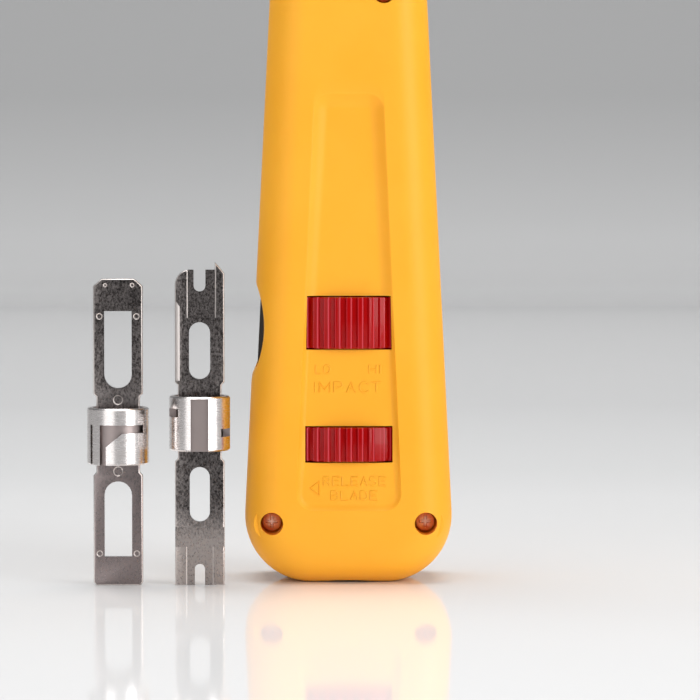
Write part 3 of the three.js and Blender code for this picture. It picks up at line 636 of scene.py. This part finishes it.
def on_panel(points):
    """Points of x, height above the floor and z, laid on the panel's sunk floor."""
    x, up, z = points.T
    return in_place(np.stack([x, -half_thickness + panel_sink(x, z) - up, z], axis=1))


def piece_from_curve(name, curve, placed, smooth_angle):
    """The closed mesh that a curve makes; placed turns its rows of points into metres."""
    source = bpy.data.objects.new(name + "_source", curve)
    scene.collection.objects.link(source)
    bpy.context.view_layer.update()
    graph = bpy.context.evaluated_depsgraph_get()
    mesh = bpy.data.meshes.new_from_object(source.evaluated_get(graph))
    bpy.data.objects.remove(source)
    points = np.zeros(len(mesh.vertices) * 3, np.float32)
    mesh.vertices.foreach_get("co", points)
    points = placed(points.reshape(-1, 3))
    mesh.vertices.foreach_set("co", points.ravel().astype(np.float32))
    piece = bpy.data.objects.new(name, mesh)
    scene.collection.objects.link(piece)
    return outward(piece, smooth_angle)


def raised_word(name, word, x, z, height, width):
    """Round cords that follow each letter's strokes, half sunk in the panel's floor. Letters
    are as wide as their strokes reach, with an even gap, and the row is centred on x."""
    reach = [max(np.max(np.array(line)[:, 0]) for line in strokes[letter]) for letter in word]
    gap = 0.5
    unit = (width - 2 * stroke_radius) / (sum(reach) + gap * (len(word) - 1))
    starts = np.concatenate([[0], np.cumsum(np.array(reach[:-1]) + gap)]) * unit - width / 2
    curve = bpy.data.curves.new(name, "CURVE")
    curve.dimensions = "3D"
    curve.bevel_depth = stroke_radius
    curve.bevel_resolution = 2
    curve.use_fill_caps = True
    for letter, start in zip(word, starts + stroke_radius):
        for line in strokes[letter]:
            line = np.array(line, float)
            spline = curve.splines.new("POLY")
            spline.points.add(len(line) - 1)
            px = x + start + line[:, 0] * unit
            pz = z + (line[:, 1] - 0.5) * (height - 2 * stroke_radius)
            path = np.column_stack([px, 0 * px, pz, np.ones(len(line))])
            spline.points.foreach_set("co", path.ravel())
            spline.use_cyclic_u = letter in closed_strokes

    def lifted(points):
        up = -points[:, 1] + relief - stroke_radius
        return on_panel(np.stack([points[:, 0], up, points[:, 2]], axis=1))

    return piece_from_curve(name, curve, lifted, 50)


words = [
    raised_word("word_lo", "LO", -4.9, 40.8, 2.0, 3.1),
    raised_word("word_hi", "HI", 4.9, 40.8, 2.0, 2.5),
    raised_word("word_impact", "IMPACT", -0.15, 37.4, 2.3, 12.8),
    raised_word("word_release", "RELEASE", 1.1, 19.6, 2.0, 12.1),
    raised_word("word_blade", "BLADE", 1.0, 16.9, 2.0, 9.0),
    raised_word("turn_arrow", "<", -6.45, 18.3, 3.0, 2.0),
]
for word in words:
    word.data.materials.clear()
    word.data.materials.append(yellow_plastic)
    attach(word, "handle")

# ---- Screws ---------------------------------------------------------------------------------
# Four self-tapping pan-head screws with cross recesses, copper-toned by age and driven deep into
# the front shell's holes so that they draw the rear shell up to it.


def screw_mesh(x, z):
    """Turned grid: domed head whose face sinks under two crossing tapered slots, then a shank
    whose radius follows a saw wave along its length, like a thread, down to a point."""
    turn = np.linspace(0, 2 * math.pi, 72, endpoint=False)
    ring = np.array([0.02, 0.12, 0.2, 0.28, 0.36, 0.5, 0.7, 0.9, 1.05, 1.2, 1.4, 1.55, 1.66, 1.74])
    px, pz = ring[:, None] * np.cos(turn), ring[:, None] * np.sin(turn)
    dome = 0.42 * (ring[:, None] / 1.75) ** 2.4
    across = np.minimum(np.abs(px), np.abs(pz))
    along = np.maximum(np.abs(px), np.abs(pz))
    slot = np.clip((0.27 - across) / 0.05, 0, 1) * np.clip((1.1 - along) / 0.12, 0, 1)
    sink = np.maximum(slot, np.clip((0.45 - ring[:, None]) / 0.1, 0, 1) * 0.8)
    head_y = dome + 0.62 * sink
    travel = np.arange(0, 14.2, 0.14)
    thread = np.where((travel * 1.05) % 1 < 0.5, 1.05, 0.82)
    shank_y = 1.5 + travel
    rest_r = np.concatenate([[1.75, 1.72], thread, [0.1]])
    rest_y = np.concatenate([[0.6, 1.45], shank_y, [16.2]])
    sx, sz = rest_r[:, None] * np.cos(turn), rest_r[:, None] * np.sin(turn)
    sy = rest_y[:, None] + 0 * sx
    grid = np.concatenate([np.stack([px, head_y, pz], 2), np.stack([sx, sy, sz], 2)])
    points = grid.reshape(-1, 3) + np.array([x, head_level - 0.1, z])
    n, rows = len(turn), np.arange(len(grid) - 1)[:, None] * len(turn)
    k = np.arange(n)
    a, b = rows + k, rows + (k + 1) % n
    faces = np.stack([a, b, b + n, a + n], axis=2).reshape(-1, 4).tolist()
    faces += [list(range(n)), list(range(len(points) - 1, len(points) - 1 - n, -1))]
    return points, faces


def worked_metal_group():
    """Metal: noise lines stretched along an axis, and small pits, both on object space. Outputs
    the lines as a tone, the pits as specks, and a roughness that rises with the lines."""
    group = bpy.data.node_groups.new("worked_metal", "ShaderNodeTree")
    socket(group, "Roughness", "NodeSocketFloat", "INPUT", 0.3)
    socket(group, "Stretch", "NodeSocketVector", "INPUT", (1, 1, 1))
    socket(group, "Tone", "NodeSocketFloat", "OUTPUT")
    socket(group, "Specks", "NodeSocketFloat", "OUTPUT")
    socket(group, "Roughness", "NodeSocketFloat", "OUTPUT")
    start = group.nodes.new("NodeGroupInput")
    end = group.nodes.new("NodeGroupOutput")
    place = group.nodes.new("ShaderNodeTexCoord")
    stretch = group.nodes.new("ShaderNodeVectorMath")
    stretch.operation = "MULTIPLY"
    lines = group.nodes.new("ShaderNodeTexNoise")
    specks = group.nodes.new("ShaderNodeTexNoise")
    lines.inputs["Scale"].default_value = 3200.0
    lines.inputs["Detail"].default_value = 4.0
    specks.inputs["Scale"].default_value = 9000.0
    specks.inputs["Detail"].default_value = 3.0
    rough = group.nodes.new("ShaderNodeMath")
    rough.operation = "MULTIPLY_ADD"
    rough.inputs[1].default_value = 0.18
    link = group.links.new
    link(place.outputs["Object"], stretch.inputs[0])
    link(start.outputs["Stretch"], stretch.inputs[1])
    link(stretch.outputs["Vector"], lines.inputs["Vector"])
    link(place.outputs["Object"], specks.inputs["Vector"])
    link(lines.outputs["Fac"], end.inputs["Tone"])
    link(specks.outputs["Fac"], end.inputs["Specks"])
    link(lines.outputs["Fac"], rough.inputs[0])
    link(start.outputs["Roughness"], rough.inputs[2])
    link(rough.outputs[0], end.inputs["Roughness"])
    return group


worked_metal = worked_metal_group()


def metal(
    name, dark, light, roughness, stretch=(1, 1, 1), bump_height=0.00001, spread=0.12,
    low_reflection=None, painted_light_colour=None,
):  # fmt: skip
    """Steel of two tones mixed by scratches and specks, with both as a shallow bump.

    The two arguments after spread paint light into the colour. The first gives a colour, the
    height where it starts and the height where it is whole: a painted reflection that makes a
    blade paler low down, as the bright floor would. The second is the colour of the marked faces,
    whose face value is 1, which are rougher too: a painted highlight on the blades' sloped faces
    and painted shade in the collars' cuts."""
    material, tree, shader = new_material(name)
    surface = tree.nodes.new("ShaderNodeGroup")
    surface.node_tree = worked_metal
    surface.inputs["Roughness"].default_value = roughness
    surface.inputs["Stretch"].default_value = stretch
    mix = tree.nodes.new("ShaderNodeMath")
    mix.operation = "ADD"
    half = tree.nodes.new("ShaderNodeMath")
    half.operation = "MULTIPLY"
    half.inputs[1].default_value = 0.5
    tone = tree.nodes.new("ShaderNodeValToRGB")
    tone.color_ramp.elements[0].position = 0.5 - spread
    tone.color_ramp.elements[0].color = (*dark, 1)
    tone.color_ramp.elements[1].position = 0.5 + spread
    tone.color_ramp.elements[1].color = (*light, 1)
    bump = tree.nodes.new("ShaderNodeBump")
    bump.inputs["Distance"].default_value = bump_height
    link = tree.links.new
    link(surface.outputs["Tone"], mix.inputs[0])
    link(surface.outputs["Specks"], mix.inputs[1])
    link(mix.outputs[0], half.inputs[0])
    link(half.outputs[0], bump.inputs["Height"])
    if low_reflection is None:
        link(half.outputs[0], tone.inputs["Fac"])
    else:
        # A paler colour that the tone reaches low down the blade: painted reflection of the bright
        # floor.
        sheen_colour, start, whole = low_reflection
        beyond = 0.2
        last = tone.color_ramp.elements.new(0.5 + spread + beyond)
        last.color = (*sheen_colour, 1)
        place = tree.nodes.new("ShaderNodeTexCoord")
        split = tree.nodes.new("ShaderNodeSeparateXYZ")
        fade = tree.nodes.new("ShaderNodeMapRange")
        fade.inputs["From Min"].default_value = start / 1000
        fade.inputs["From Max"].default_value = whole / 1000
        fade.inputs["To Max"].default_value = beyond + spread
        shift = tree.nodes.new("ShaderNodeMath")
        link(place.outputs["Object"], split.inputs["Vector"])
        link(split.outputs["Z"], fade.inputs["Value"])
        link(fade.outputs["Result"], shift.inputs[0])
        link(half.outputs[0], shift.inputs[1])
        link(shift.outputs[0], tone.inputs["Fac"])
    if painted_light_colour is None:
        link(tone.outputs["Color"], shader.inputs["Base Color"])
        link(surface.outputs["Roughness"], shader.inputs["Roughness"])
    else:
        # Marked faces take the given colour: a painted highlight on the blades, painted shade in the
        # collars' cuts.
        mark = tree.nodes.new("ShaderNodeAttribute")
        mark.attribute_name = "painted_light_faces"
        blend = tree.nodes.new("ShaderNodeMix")
        blend.data_type = "RGBA"
        blend.inputs["B"].default_value = (*painted_light_colour, 1)
        rougher = tree.nodes.new("ShaderNodeMath")
        rougher.operation = "MULTIPLY_ADD"
        rougher.inputs[1].default_value = 0.2
        link(mark.outputs["Fac"], blend.inputs["Factor"])
        link(tone.outputs["Color"], blend.inputs["A"])
        link(blend.outputs["Result"], shader.inputs["Base Color"])
        link(mark.outputs["Fac"], rougher.inputs[0])
        link(surface.outputs["Roughness"], rougher.inputs[2])
        link(rougher.outputs[0], shader.inputs["Roughness"])
    link(bump.outputs["Normal"], shader.inputs["Normal"])
    shader.inputs["Metallic"].default_value = 1.0
    return material


copper, pale_copper = (0.94, 0.66, 0.52), (1.0, 0.82, 0.72)
screw_steel = metal("copper_toned_screw", copper, pale_copper, 0.36, bump_height=0.000004)
screw_names = ["screw_lower_left", "screw_lower_right", "screw_middle", "screw_palm"]
for (x, z), node in zip(screw_holes, screw_names):
    points, faces = screw_mesh(x, z)
    screw = outward(new_mesh("cross_" + node, in_place(points), faces), 40)
    screw.data.materials.append(screw_steel)
    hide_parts(node)
    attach(screw, "handle")

# ---- Wheels ---------------------------------------------------------------------------------
# Two thumb wheels of glossy red plastic that turn about the tool's axis. Their rims are moulded
# with flat-topped ribs, and both edges of each rib are painted paler pink as a painted highlight.
# The lower one has a wider worn rib that marks where the lock opens.

rib_count = 44


def wheel_mesh(bottom, top, bore, hub, worn_at=None):
    """A closed section of hub, faces and rim carried round the axis. Round the rim the radius
    falls by a smooth step from each rib's flat land to the flat floor of the groove; worn_at is
    the angle of the wide rib. Also gives each point's painted highlight: a bell curve at both
    edges of a rib, stronger on one edge, where the lamps would glint on the land's edge."""
    per_rib = 24
    worn_half = 0.062
    turn = np.arange(rib_count * per_rib) * 2 * math.pi / (rib_count * per_rib) - math.pi / 2
    phase = (np.arange(rib_count * per_rib) / per_rib + 0.5) % 1 - 0.5
    land = 0.2
    t = np.clip((np.abs(phase) - land) / 0.14, 0, 1)
    groove = 0.5 * t * t * (3 - 2 * t)
    crown = 0.03 * np.clip(1 - np.abs(phase) / land, 0, 1)
    if worn_at is not None:
        away = np.abs(turn - (worn_at - math.pi / 2))
        groove = np.where(away < worn_half, 0.06, groove)
        crown = np.where(away < worn_half, 0, crown)
    rim = wheel_radius - groove - crown
    rib_glint = np.exp(-(((phase - land) / 0.05) ** 2)) + 0.35 * np.exp(-(((phase + land) / 0.04) ** 2))
    section = [
        (0, bore, bottom - 1.2), (0, hub, bottom - 1.2), (0, hub, bottom), (0, 13.4, bottom),
        (1, -0.3, bottom), (1, -0.09, bottom + 0.09), (1, 0, bottom + 0.3), (1, 0, top - 0.3),
        (1, -0.09, top - 0.09), (1, -0.3, top), (0, 13.4, top), (0, hub, top),
        (0, hub, top + 1.2), (0, bore, top + 1.2),
    ]  # fmt: skip
    follow, radius, height = np.array(section, float).T
    r = follow[:, None] * rim + radius[:, None]
    z = height[:, None] + 0 * r
    points = np.stack([r * np.cos(turn), r * np.sin(turn), z], axis=2).reshape(-1, 3)
    n, rows = len(turn), np.arange(len(section))[:, None]
    k = np.arange(n)
    after = (rows + 1) % len(section)
    a, b = rows * n + k, rows * n + (k + 1) % n
    faces = np.stack([a, b, after * n + (k + 1) % n, after * n + k], axis=2).reshape(-1, 4)
    return points, faces, (follow[:, None] * rib_glint).ravel()


red, pale_red = (0.33, 0.0004, 0.0008), (0.38, 0.0006, 0.0012)
red_plastic = plastic("red_plastic", red, pale_red, 0.13, 0.000002, 0.06, specular=0.16)
tree, shader = red_plastic.node_tree, red_plastic.node_tree.nodes["Principled BSDF"]
# Both edges of each rib turn paler pink by the value that wheel_mesh gives: a painted highlight.
glint_mark = tree.nodes.new("ShaderNodeAttribute")
glint_mark.attribute_name = "rib_glint"
glint_mix = tree.nodes.new("ShaderNodeMix")
glint_mix.data_type = "RGBA"
glint_mix.inputs["B"].default_value = (0.62, 0.075, 0.1, 1)
tree.links.new(shader.inputs["Base Color"].links[0].from_socket, glint_mix.inputs["A"])
tree.links.new(glint_mark.outputs["Fac"], glint_mix.inputs["Factor"])
tree.links.new(glint_mix.outputs["Result"], shader.inputs["Base Color"])
wheels = [
    ("impact_thumb_wheel", "impact_wheel", "impact_dial", (44.75, 54.45, 9.8, 11.0)),
    ("release_thumb_wheel", "release_wheel", "release_dial", (23.35, 29.8, 8.9, 11.0, 0.385)),
]
for name, node, body, sizes in wheels:
    points, faces, rib_glint = wheel_mesh(*sizes)
    wheel = new_mesh(name, in_place(points), faces)
    marks = wheel.data.attributes.new("rib_glint", "FLOAT", "POINT")
    marks.data.foreach_set("value", rib_glint.astype(np.float32))
    outward(wheel, 28)
    wheel.data.materials.append(red_plastic)
    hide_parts(node)
    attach(wheel, body)

# ---- Tray and inner parts -------------------------------------------------------------------
# The tray for two spare blades is black plastic. Inside are the turned steel holder, sleeve and
# hammer, their springs, and a plastic seat, all as they come from the lathe or the coiler.

black_plastic = plastic("black_plastic", (0.008, 0.008, 0.009), (0.016, 0.016, 0.017), 0.42, 0.00002)
black_rubber = plastic("black_rubber", (0.012, 0.012, 0.012), (0.022, 0.021, 0.02), 0.8, 0.00004)
turned_steel = metal("turned_steel", (0.42, 0.41, 0.39), (0.62, 0.60, 0.57), 0.24, (1, 1, 6))
dark_steel = metal("dark_steel", (0.14, 0.135, 0.13), (0.24, 0.23, 0.22), 0.34, (1, 1, 4))
spring_steel = metal("spring_steel", (0.5, 0.49, 0.46), (0.7, 0.69, 0.66), 0.22)
carried_over = {
    "storage_tray": black_plastic, "spring_seat": black_plastic, "nose_buffer": black_rubber,
    "blade_holder": turned_steel, "nose_bushing": turned_steel, "hammer": turned_steel,
    "lock_sleeve": dark_steel, "trip_cam_ring": dark_steel, "trip_plate": dark_steel,
    "guide_tube": dark_steel, "lock_pin_left": spring_steel, "lock_pin_right": spring_steel,
    "main_spring": spring_steel, "trip_spring": spring_steel, "release_spring": spring_steel,
    "detent_ball": spring_steel, "detent_spring": spring_steel,
    "tray_pin_front": spring_steel, "tray_pin_rear": spring_steel,
}  # fmt: skip
for node, material in carried_over.items():
    nodes[node].data.materials.clear()
    nodes[node].data.materials.append(material)

# ---- Spare blades ---------------------------------------------------------------------------
# Two hardened strip-steel blades, each stamped, punched and folded at its ends, with a turned
# steel collar pressed on whose outside is cut for the twist lock of the holder.

plate_thickness = 1.3
collar66, collar110 = 5.84, 5.75  # their radii


def blade_axis(node):
    """Where a spare blade's upright axis stands, in x and y."""
    low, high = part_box(node)
    return np.array([(low.x + high.x) / 2 - axis_x, (low.y + high.y) / 2 - axis_y]) * 1000


blade66, blade110 = blade_axis("blade_66_plate"), blade_axis("blade_110_plate")


def arc(x, z, radius, start, end, steps=12):
    """Points on a circle between two angles in degrees."""
    turn = np.radians(np.linspace(start, end, steps))
    return np.stack([x + radius * np.cos(turn), z + radius * np.sin(turn)], axis=1)


def long_slot(half, low, high, round_low, round_high):
    """Outline of a slot with round or square ends."""
    foot = arc(0, low + half, half, 180, 360) if round_low else [(-half, low), (half, low)]
    head = arc(0, high - half, half, 0, 180) if round_high else [(half, high), (-half, high)]
    return np.concatenate([foot, head])


def punched_plate(name, outlines, centre, thickness=plate_thickness, round_edge=0.38):
    """A flat closed curve with holes, filled, given its thickness and rounded edges, and stood up
    in the plane of the blade."""
    curve = bpy.data.curves.new(name, "CURVE")
    curve.dimensions = "2D"
    curve.fill_mode = "BOTH"
    curve.extrude = thickness / 2 - round_edge
    curve.bevel_depth = round_edge
    curve.bevel_resolution = 2
    curve.offset = -round_edge
    for outline in outlines:
        line = curve.splines.new("POLY")
        line.points.add(len(outline) - 1)
        flat = np.column_stack([outline, np.zeros(len(outline)), np.ones(len(outline))])
        line.points.foreach_set("co", flat.ravel())
        line.use_cyclic_u = True

    def stood(points):
        x, z, y = points.T
        return in_place(np.stack([x + centre[0], y + centre[1], z], axis=1))

    return piece_from_curve(name, curve, stood, 40)


def block(low, high, flare=0.0):
    """A closed box between two corners, as a cutter; flare widens its front along X."""
    corner = np.array([[i, j, k] for i in (0, 1) for j in (0, 1) for k in (0, 1)])
    points = np.array(low) + corner * (np.array(high) - np.array(low))
    points[:, 0] += np.where(corner[:, 1] == 0, flare * (2 * corner[:, 0] - 1), 0)
    faces = [[0, 1, 3, 2], [4, 6, 7, 5], [0, 4, 5, 1], [2, 3, 7, 6], [0, 2, 6, 4], [1, 5, 7, 3]]
    return outward(new_mesh("cutter", in_place(points), faces))


def dimple(x, z, centre, radius, depth):
    """A round flat-bottomed pit in the front of a blade, its wall at 45 degrees, as a cutter."""
    front = centre[1] - plate_thickness / 2
    profile = [(front - 0.5, radius), (front, radius), (front + depth, radius - depth)]
    return turned_piece("cutter", np.array(profile), centre[0] + x, z, 24)


def collar_piece(name, centre, radius, low, high):
    """A turned ring with chamfered ends: its closed section carried round the blade's axis."""
    inner, c = radius - 1.3, 0.3
    section = np.array([
        (inner + c, low), (radius - c, low), (radius, low + c), (radius, high - c),
        (radius - c, high), (inner + c, high), (inner, high - c), (inner, low + c),
    ])  # fmt: skip
    sides = 96
    turn = np.linspace(0, 2 * math.pi, sides, endpoint=False)
    r, z = section[:, :1], section[:, 1:]
    points = np.stack([r * np.cos(turn), r * np.sin(turn), z + 0 * turn], axis=2).reshape(-1, 3)
    k = np.arange(sides)
    row = np.arange(len(section))[:, None] * sides
    after, beside = (row + sides) % (len(section) * sides), (k + 1) % sides
    faces = np.stack([row + k, row + beside, after + beside, after + k], axis=2)
    points = points + np.array([centre[0], centre[1], 0])
    return outward(new_mesh(name, in_place(points), faces.reshape(-1, 4)))


half, neck = 4.66, 4.1
older_outline = np.array([
    (-half + 0.5, 0), (half - 0.5, 0), (half, 0.5), (half, 20.84), (neck, 21.4), (neck, 35.7),
    (half, 36.26), (half, 56.6), (half - 1.6, 58), (-half + 1.6, 58), (-half, 56.6),
    (-half, 36.26), (-neck, 35.7), (-neck, 21.4), (-half, 20.84), (-half, 0.5),
])  # fmt: skip
older = punched_plate("blade_66_strip", [older_outline], blade66)
for slot_outline in (long_slot(2.6, 37.3, 51.9, True, False), long_slot(2.6, 5.4, 19.7, False, True)):
    older = combine(older, punched_plate("punch", [slot_outline], blade66, 3, 0), "DIFFERENCE")
pits = [
    (-3.5, 50.9, 0.62), (3.5, 50.9, 0.62), (0, 35.1, 0.95), (0, 21.6, 0.95),
    (-3.5, 6, 0.62), (3.5, 6, 0.62), (-2.4, 56.8, 0.4), (2.7, 56.8, 0.45),
]  # fmt: skip
for x, z, radius in pits:
    older = combine(older, dimple(x, z, blade66, radius, 0.22), "DIFFERENCE")
outward(older, 40)

hook_outline = np.concatenate([
    [(-half, 0), (-0.95, 0)], arc(0, 3.05, 0.95, 180, 0),
    [(0.95, 0), (half, 0), (half, 23.44), (neck, 24), (neck, 37.9), (half, 38.46), (half, 59.0)],
    [(2.9, 61.1), (2.88, 59.7), (1.12, 59.7)], arc(0, 56.7, 1.12, 0, -180),
    [(-1.12, 59.7), (-2.2, 59.7)],
    arc(-2.2, 0, 2.46, 90, 180, 10) * np.array([1, 1.22]) + np.array([0, 56.6]),
    [(-half, 38.46), (-neck, 37.9), (-neck, 24), (-half, 23.44)],
])  # fmt: skip
hooked = punched_plate("blade_110_strip", [hook_outline], blade110, plate_thickness, 0.3)
for slot_outline in (long_slot(2.0, 39, 49.8, True, True), long_slot(1.9, 12, 22.4, True, True)):
    hooked = combine(hooked, punched_plate("punch", [slot_outline], blade110, 3, 0), "DIFFERENCE")
face = blade110[1] - plate_thickness / 2
for left, right, low, high, depth in [
    (-2.2, 2.9, 50.6, 62, 0.22), (-2.4, 2.4, -1, 7.3, 0.22), (-6, 6, 7.3, 11.0, 0.14),
]:  # fmt: skip
    corners = [blade110[0] + left, face - 0.2, low], [blade110[0] + right, face + depth, high]
    hooked = combine(hooked, block(*corners, 0.2 + depth), "DIFFERENCE")


def round_side(centre, outer, across, deep, low, high, rise):
    """Cutter that rolls a blade's front left edge: the corner outside a quarter ellipse, carried
    up the blade, its upper end rising towards the outside."""
    t = np.linspace(0, math.pi / 2, 12)
    face = centre[1] - plate_thickness / 2
    x = np.concatenate([[-1.0, across], across * (1 - np.sin(t)), [-1.0]]) + outer
    y = np.concatenate([[-1.0, -1.0], deep * (1 - np.cos(t)), [deep]]) + face
    top = high + rise * np.clip((outer + across - x) / across, 0, 1)
    n, k = len(x), np.arange(len(x))
    z = np.concatenate([0 * x + low, top])
    points = np.stack([np.tile(x, 2) + centre[0], np.tile(y, 2), z], axis=1)
    faces = np.stack([k, (k + 1) % n, (k + 1) % n + n, k + n], axis=1).tolist()
    faces += [list(range(n)), *[[n, n + i + 1, n + i] for i in range(1, n - 1)]]
    return outward(new_mesh("cutter", in_place(points), faces))


hooked = combine(hooked, round_side(blade110, -half, 1.55, 1.0, 38.7, 51.8, 2.6), "DIFFERENCE")
outward(hooked, 40)

older_collar = collar_piece("blade_66_lock_collar", blade66, collar66, 23, 33.7)
hooked_collar = collar_piece("blade_110_lock_collar", blade110, collar110, 25.6, 35.9)


def wall_cut(collar, centre, floor, outline, turned, flat=0.6):
    """Cuts an outline into a collar's wall: down to a round floor of that radius, or with floor 0
    to a flat one, flat away from the axis. turned cuts the opposite side of the collar."""
    x, z = np.array(outline, float).T * np.array([[-1.0 if turned else 1.0], [1.0]])
    side = 1 if turned else -1
    n = len(x)
    y = np.array([side * flat, side * 8.0])[:, None] + 0 * x
    points = np.stack([np.tile(x, 2) + centre[0], y.ravel() + centre[1], np.tile(z, 2)], axis=1)
    k = np.arange(n)
    faces = np.stack([k, (k + 1) % n, (k + 1) % n + n, k + n], axis=1).tolist()
    faces += [list(range(n)), list(range(2 * n - 1, n - 1, -1))]
    cutter = outward(new_mesh("cutter", in_place(points), faces))
    if floor:
        profile, lengthwise = rod_mesh([(min(z) - 1, floor), (max(z) + 1, floor)], 96)
        core_points = profile[:, [0, 2, 1]] + np.array([centre[0], centre[1], 0])
        core = outward(new_mesh("core", in_place(core_points), lengthwise))
        cutter = combine(cutter, core, "DIFFERENCE")
    return combine(collar, cutter, "DIFFERENCE")


land = [(-5.1, 22), (-3.2, 22), (-3.2, 30.6), (-5.1, 30.6)]
lock_track = [
    (-3.3, 22), (-2.15, 22), (-2.15, 26.5), (0.95, 29.05), (4.8, 29.05), (4.8, 30.6), (-3.3, 30.6),
]  # fmt: skip
groove = [(-1.6, 25), (1.7, 25), (1.7, 35.5), (-1.6, 35.5)]
left_notch = [(-7, 32.0), (-4.0, 32.0), (-4.0, 33.6), (-7, 33.6)]
right_notch = [(4.0, 28.3), (7, 28.3), (7, 29.8), (4.0, 29.8)]
for turned in (False, True):
    older_collar = wall_cut(older_collar, blade66, 5.6, land, turned)
    older_collar = wall_cut(older_collar, blade66, 5.1, lock_track, turned)
    hooked_collar = wall_cut(hooked_collar, blade110, 0, groove, turned, 4.9)
    for notch in (left_notch, right_notch):
        hooked_collar = wall_cut(hooked_collar, blade110, 0, notch, turned)


def face_arrays(piece):
    """Middles and normals of a piece's faces."""
    flat = np.zeros((2, len(piece.data.polygons) * 3), np.float32)
    piece.data.polygons.foreach_get("center", flat[0])
    piece.data.polygons.foreach_get("normal", flat[1])
    return flat.reshape(2, -1, 3)


def mark_faces(piece, chosen):
    """Face value that picks out the faces given painted light: 1 where chosen."""
    marks = piece.data.attributes.new("painted_light_faces", "FLOAT", "FACE")
    marks.data.foreach_set("value", chosen.astype(np.float32))


collars = [outward(older_collar, 30), outward(hooked_collar, 30)]
# Faces inside the cuts in the collars, painted dark as painted shade.
for collar, centre, radius in zip(collars, (blade66, blade110), (collar66, collar110)):
    middle, normal = face_arrays(collar)
    axis = in_place(np.array([[centre[0], centre[1], 0.0]]))[0]
    away = np.hypot(*(middle - axis)[:, :2].T) * 1000
    mark_faces(collar, (away > radius - 1.2) & (away < radius - 0.3) & (np.abs(normal[:, 2]) < 0.9))
# Sloped faces of the blades' rounded edges and folds, painted pale as a painted highlight.
for plate in (older, hooked):
    facing = np.abs(face_arrays(plate)[1][:, 1])
    mark_faces(plate, (facing > 0.45) & (facing < 0.96))

grain = (0.034, 0.029, 0.028), (0.2, 0.18, 0.174), 0.2, (1, 1, 0.6), 0.000006, 0.09
# The blades grow paler low down as a painted reflection, and their sloped faces are painted pale as a
# painted highlight.
older_steel = metal("blade_steel", *grain, ((0.26, 0.215, 0.21), 40, 17), (0.8, 0.74, 0.71))
hooked_steel = metal("hooked_blade_steel", *grain, ((0.42, 0.37, 0.35), 15, 8), (0.8, 0.74, 0.71))
# The faces inside the collars' cuts take a dark colour: painted shade.
collar_steel = metal(
    "collar_steel", (0.64, 0.60, 0.585), (0.78, 0.745, 0.73), 0.16, (0.3, 0.3, 2), 0.000003, 0.16,
    painted_light_colour=(0.33, 0.28, 0.27),
)  # fmt: skip
fittings = [
    (older, "blade_66_plate", "blade_steel", older_steel, "blade_66"),
    (hooked, "blade_110_plate", "blade_steel", hooked_steel, "blade_110"),
    (collars[0], "blade_66_collar", "collar_steel", collar_steel, "blade_66"),
    (collars[1], "blade_110_collar", "collar_steel", collar_steel, "blade_110"),
]
for piece, node, slot, material, body in fittings:
    piece.data.materials.clear()
    piece.data.materials.append(material)
    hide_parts(node)
    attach(piece, body)
